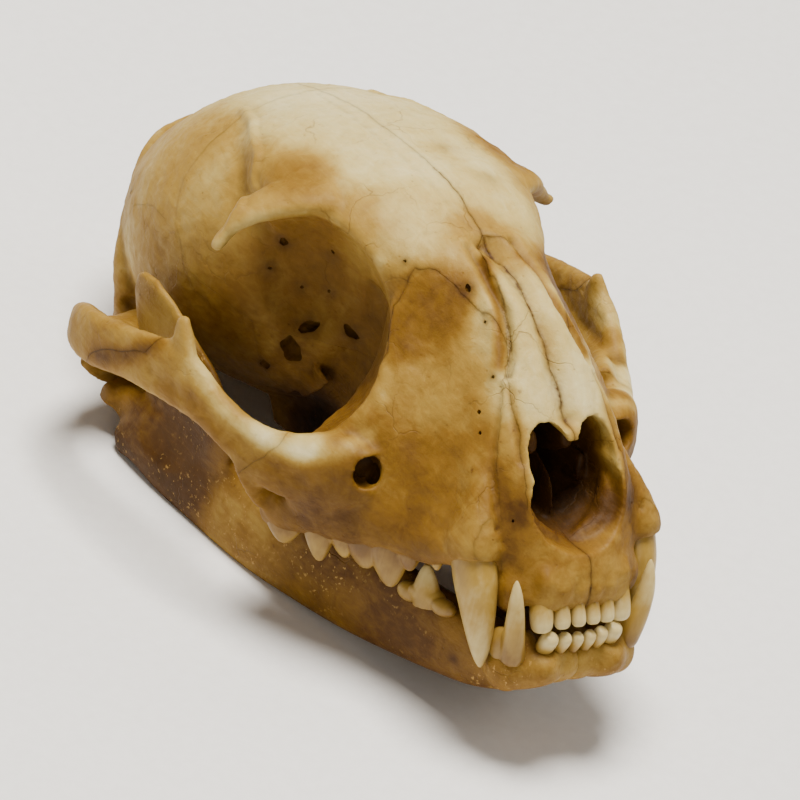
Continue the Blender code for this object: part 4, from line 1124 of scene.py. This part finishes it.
def added(tree, kind, values=(), out=None, stops=(), **settings):
    # one node: its settings, then each input's value or the socket that feeds it, by name or in order
    node = tree.nodes.new("ShaderNode" + kind)
    for name, value in settings.items():
        setattr(node, name, value)
    if isinstance(values, dict):
        pairs = [(node.inputs[name], value) for name, value in values.items()]
    else:
        pairs = zip([socket for socket in node.inputs if socket.enabled], values)
    for socket, value in pairs:
        if isinstance(value, bpy.types.NodeSocket):
            tree.links.new(value, socket)
        else:
            socket.default_value = value
    for index, (at, code) in enumerate(stops):
        elements = node.color_ramp.elements
        element = elements[index] if index < 2 else elements.new(at)
        element.position = at
        element.color = linear(code)
    return node.outputs[out] if out else next(socket for socket in node.outputs if socket.enabled)


def newMaterial(name):
    material = bpy.data.materials.new(name)
    material.use_nodes = True
    tree = material.node_tree
    return material, tree, tree.nodes["Principled BSDF"]


boneTones = [(0, "#d8ca98"), (0.2, "#bfa966"), (0.38, "#9f7f37"), (0.56, "#7c5816"), (0.76, "#4f3106"),
             (1, "#241203")]
enamelTones = [(0, "#e8dfc2"), (0.3, "#cfbd84"), (0.55, "#a5853a"), (0.8, "#6c4a0f"), (1, "#3a2406")]
# grimeAndShadeColour is the dirt of the seams and the painted shade in hollows and pits
grimeAndShadeColour, crackColour, freckleColour, chalkColour = "#472b06", "#5b3d12", "#57350b", "#ae8846"
bonesBySlot = {
    # slot: mottling, specks, pore depth in mm, roughness
    "pale_bone": (0.20, 0.6, 0.12, 0.60),
    "warm_bone": (0.26, 0.9, 0.12, 0.58),
    "ochre_bone": (0.26, 0.8, 0.14, 0.58),
    "dark_bone": (0.30, 0.8, 0.16, 0.68),
    "jaw_bone": (0.28, 1.0, 0.16, 0.56),
}


def degreasedBone(slot):
    # Cleaned bone, never quite degreased: the fat that stays in it makes it brown and slightly waxy.
    mottling, specks, pores, rough = bonesBySlot[slot]
    material, tree, shader = newMaterial("degreasedBone_" + slot)
    place = added(tree, "TexCoord", out="Object")
    tone = added(tree, "Attribute", out="Fac", attribute_name="tone")
    stainAndShade = added(tree, "Attribute", out="Fac", attribute_name="stainAndShade")
    hollow = added(tree, "Attribute", out="Fac", attribute_name="hollow")
    # noises by the size of what they draw, in mm
    clouds = added(tree, "TexNoise", {"Vector": place, "Scale": 1000 / 14, "Detail": 3})
    fibres = added(tree, "TexNoise", {"Vector": place, "Scale": 1000 / 3.4, "Detail": 5, "Roughness": 0.64,
                                      "Distortion": 0.8})
    spots = added(tree, "TexNoise", {"Vector": place, "Scale": 1000 / 1.3, "Detail": 2})
    grit = added(tree, "TexNoise", {"Vector": place, "Scale": 1000 / 0.35, "Detail": 2})
    lengthwise = added(tree, "Mapping", {"Vector": place, "Scale": (1000 / 0.8, 1000 / 6, 1000 / 0.8)})
    grain = added(tree, "TexNoise", {"Vector": lengthwise, "Scale": 1, "Detail": 3, "Distortion": 0.7})
    bends = added(tree, "TexNoise", {"Vector": place, "Scale": 1000 / 5, "Detail": 3}, out="Color")
    bent = added(tree, "VectorMath", (bends, (0.006, 0.006, 0.006), place), operation="MULTIPLY_ADD")
    plates = added(tree, "TexVoronoi", {"Vector": bent, "Scale": 1000 / 10}, feature="DISTANCE_TO_EDGE")
    holes = added(tree, "TexVoronoi", {"Vector": place, "Scale": 1000 / 1.7})
    # colour
    uneven = added(tree, "Math", (clouds, mottling * 1.5, -0.75 * mottling), operation="MULTIPLY_ADD")
    uneven = added(tree, "Math", (fibres, mottling, uneven), operation="MULTIPLY_ADD")
    uneven = added(tree, "Math", (grain, mottling * 0.5, uneven), operation="MULTIPLY_ADD")
    # the tone carries painted light and shade as well as the bone's own colour
    uneven = added(tree, "Math", (uneven, tone), operation="ADD")
    uneven = added(tree, "Math", (uneven, -0.75 * mottling), operation="ADD")
    colour = added(tree, "ValToRGB", (uneven,), stops=boneTones)
    patches = added(tree, "Math", (fibres, 5.0, -2.3), operation="MULTIPLY_ADD", use_clamp=True)
    freckles = added(tree, "Math", (spots, 9.0, -6.0), operation="MULTIPLY_ADD", use_clamp=True)
    freckles = added(tree, "Math", (freckles, patches), operation="MULTIPLY")
    pinholes = added(tree, "Math", (holes, -8.0, 1.3), operation="MULTIPLY_ADD", use_clamp=True)
    pinholes = added(tree, "Math", (pinholes, patches), operation="MULTIPLY")
    freckles = added(tree, "Math", (freckles, specks * 0.8), operation="MULTIPLY")
    freckles = added(tree, "Math", (pinholes, specks * 0.6, freckles), operation="MULTIPLY_ADD",
                     use_clamp=True)
    colour = added(tree, "Mix", (freckles, colour, linear(freckleColour)), data_type="RGBA")
    cracks = added(tree, "Math", (plates, -55.0, 1.0), operation="MULTIPLY_ADD", use_clamp=True)
    dryer = added(tree, "Math", (clouds, 7.0, -3.6), operation="MULTIPLY_ADD", use_clamp=True)
    cracks = added(tree, "Math", (cracks, dryer), operation="MULTIPLY")
    crackTint = added(tree, "Math", (cracks, 0.4), operation="MULTIPLY")
    colour = added(tree, "Mix", (crackTint, colour, linear(crackColour)), data_type="RGBA")
    # Painted shade along with dirt: darker where the bone lies in a hollow, added to the seams' dirt and the
    # marks' stain and painted shade in pits.
    soiledAndShaded = added(tree, "Math", (hollow, 0.8, stainAndShade), operation="MULTIPLY_ADD")
    broken = added(tree, "Math", (spots, 1.4, 0.3), operation="MULTIPLY_ADD")
    grimeAndShade = added(tree, "Math", (soiledAndShaded, broken), operation="MULTIPLY", use_clamp=True)
    colour = added(tree, "Mix", (grimeAndShade, colour, linear(grimeAndShadeColour)), data_type="RGBA")
    if slot == "jaw_bone":  # chalky pits where the surface has flaked
        chalk = added(tree, "TexNoise", {"Vector": place, "Scale": 1000 / 0.8, "Detail": 3, "Roughness": 0.6})
        chalk = added(tree, "Math", (chalk, 14.0, -8.5), operation="MULTIPLY_ADD", use_clamp=True)
        flaked = added(tree, "Math", (clouds, 6.0, -2.6), operation="MULTIPLY_ADD", use_clamp=True)
        chalk = added(tree, "Math", (chalk, flaked), operation="MULTIPLY")
        colour = added(tree, "Mix", (chalk, colour, linear(chalkColour)), data_type="RGBA")
    tree.links.new(colour, shader.inputs["Base Color"])
    # surface
    worn = added(tree, "Math", (fibres, 0.3, rough - 0.15), operation="MULTIPLY_ADD")
    tree.links.new(worn, shader.inputs["Roughness"])
    relief = added(tree, "Math", (spots, 0.6, 0.0), operation="MULTIPLY_ADD")
    relief = added(tree, "Math", (grit, 0.4, relief), operation="MULTIPLY_ADD")
    relief = added(tree, "Math", (fibres, 0.9, relief), operation="MULTIPLY_ADD")
    relief = added(tree, "Math", (grain, 0.5, relief), operation="MULTIPLY_ADD")
    relief = added(tree, "Math", (pinholes, -1.0, relief), operation="MULTIPLY_ADD")
    relief = added(tree, "Math", (cracks, -0.8, relief), operation="MULTIPLY_ADD")
    bump = added(tree, "Bump", {"Strength": 0.8, "Distance": pores / 1000, "Height": relief})
    tree.links.new(bump, shader.inputs["Normal"])
    shader.inputs["Subsurface Weight"].default_value = 0.12
    shader.inputs["Subsurface Radius"].default_value = (1.0, 0.6, 0.3)
    shader.inputs["Subsurface Scale"].default_value = 0.0012
    shader.inputs["Specular IOR Level"].default_value = 0.18
    return material


def enamel():
    # Tooth enamel: hard and glossy, ivory at the tip, brown where it meets the bone.
    material, tree, shader = newMaterial("toothEnamel")
    place = added(tree, "TexCoord", out="Object")
    tone = added(tree, "Attribute", out="Fac", attribute_name="tone")
    upright = added(tree, "Mapping", {"Vector": place, "Scale": (1000 / 0.7, 1000 / 0.7, 1000 / 4)})
    streaks = added(tree, "TexNoise", {"Vector": upright, "Scale": 1, "Detail": 3, "Distortion": 0.5})
    clouds = added(tree, "TexNoise", {"Vector": place, "Scale": 1000 / 3.5, "Detail": 3})
    uneven = added(tree, "Math", (streaks, 0.12, -0.06), operation="MULTIPLY_ADD")
    uneven = added(tree, "Math", (clouds, 0.3, uneven), operation="MULTIPLY_ADD")
    uneven = added(tree, "Math", (uneven, tone), operation="ADD")
    uneven = added(tree, "Math", (uneven, -0.15), operation="ADD")
    colour = added(tree, "ValToRGB", (uneven,), stops=enamelTones)
    tree.links.new(colour, shader.inputs["Base Color"])
    gloss = added(tree, "Math", (clouds, 0.2, 0.28), operation="MULTIPLY_ADD")
    tree.links.new(gloss, shader.inputs["Roughness"])
    bump = added(tree, "Bump", {"Strength": 0.5, "Distance": 0.00005, "Height": streaks})
    tree.links.new(bump, shader.inputs["Normal"])
    shader.inputs["Subsurface Weight"].default_value = 0.08
    shader.inputs["Subsurface Radius"].default_value = (1.0, 0.8, 0.5)
    shader.inputs["Subsurface Scale"].default_value = 0.0008
    shader.inputs["Specular IOR Level"].default_value = 0.35
    shader.inputs["Coat Weight"].default_value = 0.06
    shader.inputs["Coat Roughness"].default_value = 0.15
    return material


def studioFloor():
    # Matt card: so even that only its soft shadow shows.
    material, tree, shader = newMaterial("paleCard")
    place = added(tree, "TexCoord", out="Object")
    fibres = added(tree, "TexNoise", {"Vector": place, "Scale": 1000 / 2.5, "Detail": 4, "Roughness": 0.6})
    colour = added(tree, "ValToRGB", (fibres,), stops=[(0.3, "#f4f2ef"), (0.7, "#f9f8f5")])
    tree.links.new(colour, shader.inputs["Base Color"])
    shader.inputs["Roughness"].default_value = 0.85
    return material


boneSlot = {
    "nasal": "pale_bone", "frontal": "pale_bone", "parietal": "pale_bone",
    "premaxilla": "warm_bone", "maxilla": "warm_bone",
    "zygomatic": "ochre_bone", "temporal": "ochre_bone", "occipital": "ochre_bone",
    "cranial": "dark_bone", "mandible": "jaw_bone",
}


setCamera()
setLights()
print("camera and lights set")
stuff = {slot: degreasedBone(slot) for slot in bonesBySlot}
ivory = enamel()
cranium = sculpted(roughCranium())
print("cranium fused:", len(cranium.data.vertices), "points")
tree = treeOf(cranium)
markPoints = [(point, mark) for pixel, mark in marks.items() for point in onSurface(tree, [pixel])]
withForms(cranium, pitForms(cranium), "DIFFERENCE")
keep(cranium.data, "hollow", hollowness(cranium.data))
print("cranium sculpted")
seams = seamTree()
for name, made in partBones(cranium).items():
    coloured(made, tonesAndShade, seams, markPoints, tree)
    placed(made)
    slot = boneSlot[name.split("_")[0]]
    made.data.materials.append(stuff[slot])
    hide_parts(name)
    print(name, len(made.data.vertices))
half = jawHalf()
mirrorRight = Matrix.Diagonal((-1, 1, 1, 1))
half.data.transform(mirrorRight)
jawPoints = [(point * (-1, 1, 1), mark) for pixel, mark in jawMarks.items()
             for point in onSurface(treeOf(half), [pixel])]
half.data.transform(mirrorRight)
keep(half.data, "hollow", hollowness(half.data))
for side, turn in (("left", 1), ("right", -1)):
    made = bpy.data.objects.new(f"mandible_{side}_bone", half.data.copy())
    bpy.context.scene.collection.objects.link(made)
    made.data.transform(Matrix.Diagonal((turn, 1, 1, 1)))
    made.data.materials.clear()  # the cuts leave an empty slot
    if turn < 0:
        made.data.flip_normals()
    coloured(made, jawTonesAndShade, None, [(point * (turn, 1, 1), mark) for point, mark in jawPoints])
    placed(made)
    made.data.materials.append(stuff["jaw_bone"])
    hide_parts(f"mandible_{side}")
bpy.data.objects.remove(half)

for name in teeth:
    made = tooth(name)
    for side, turn in (("left", 1), ("right", -1)):
        one = bpy.data.objects.new(f"{name}_{side}", made.data.copy())
        bpy.context.scene.collection.objects.link(one)
        one.data.transform(Matrix.Diagonal((turn, 1, 1, 1)))
        if turn < 0:
            one.data.flip_normals()
        placed(one)
        one.data.materials.append(ivory)
    bpy.data.objects.remove(made)
print("teeth set")

floor = asObject(block((-1.5, -1.5, -0.01), (1.5, 1.5, 0)), "floor")
floor.data.materials.append(studioFloor())
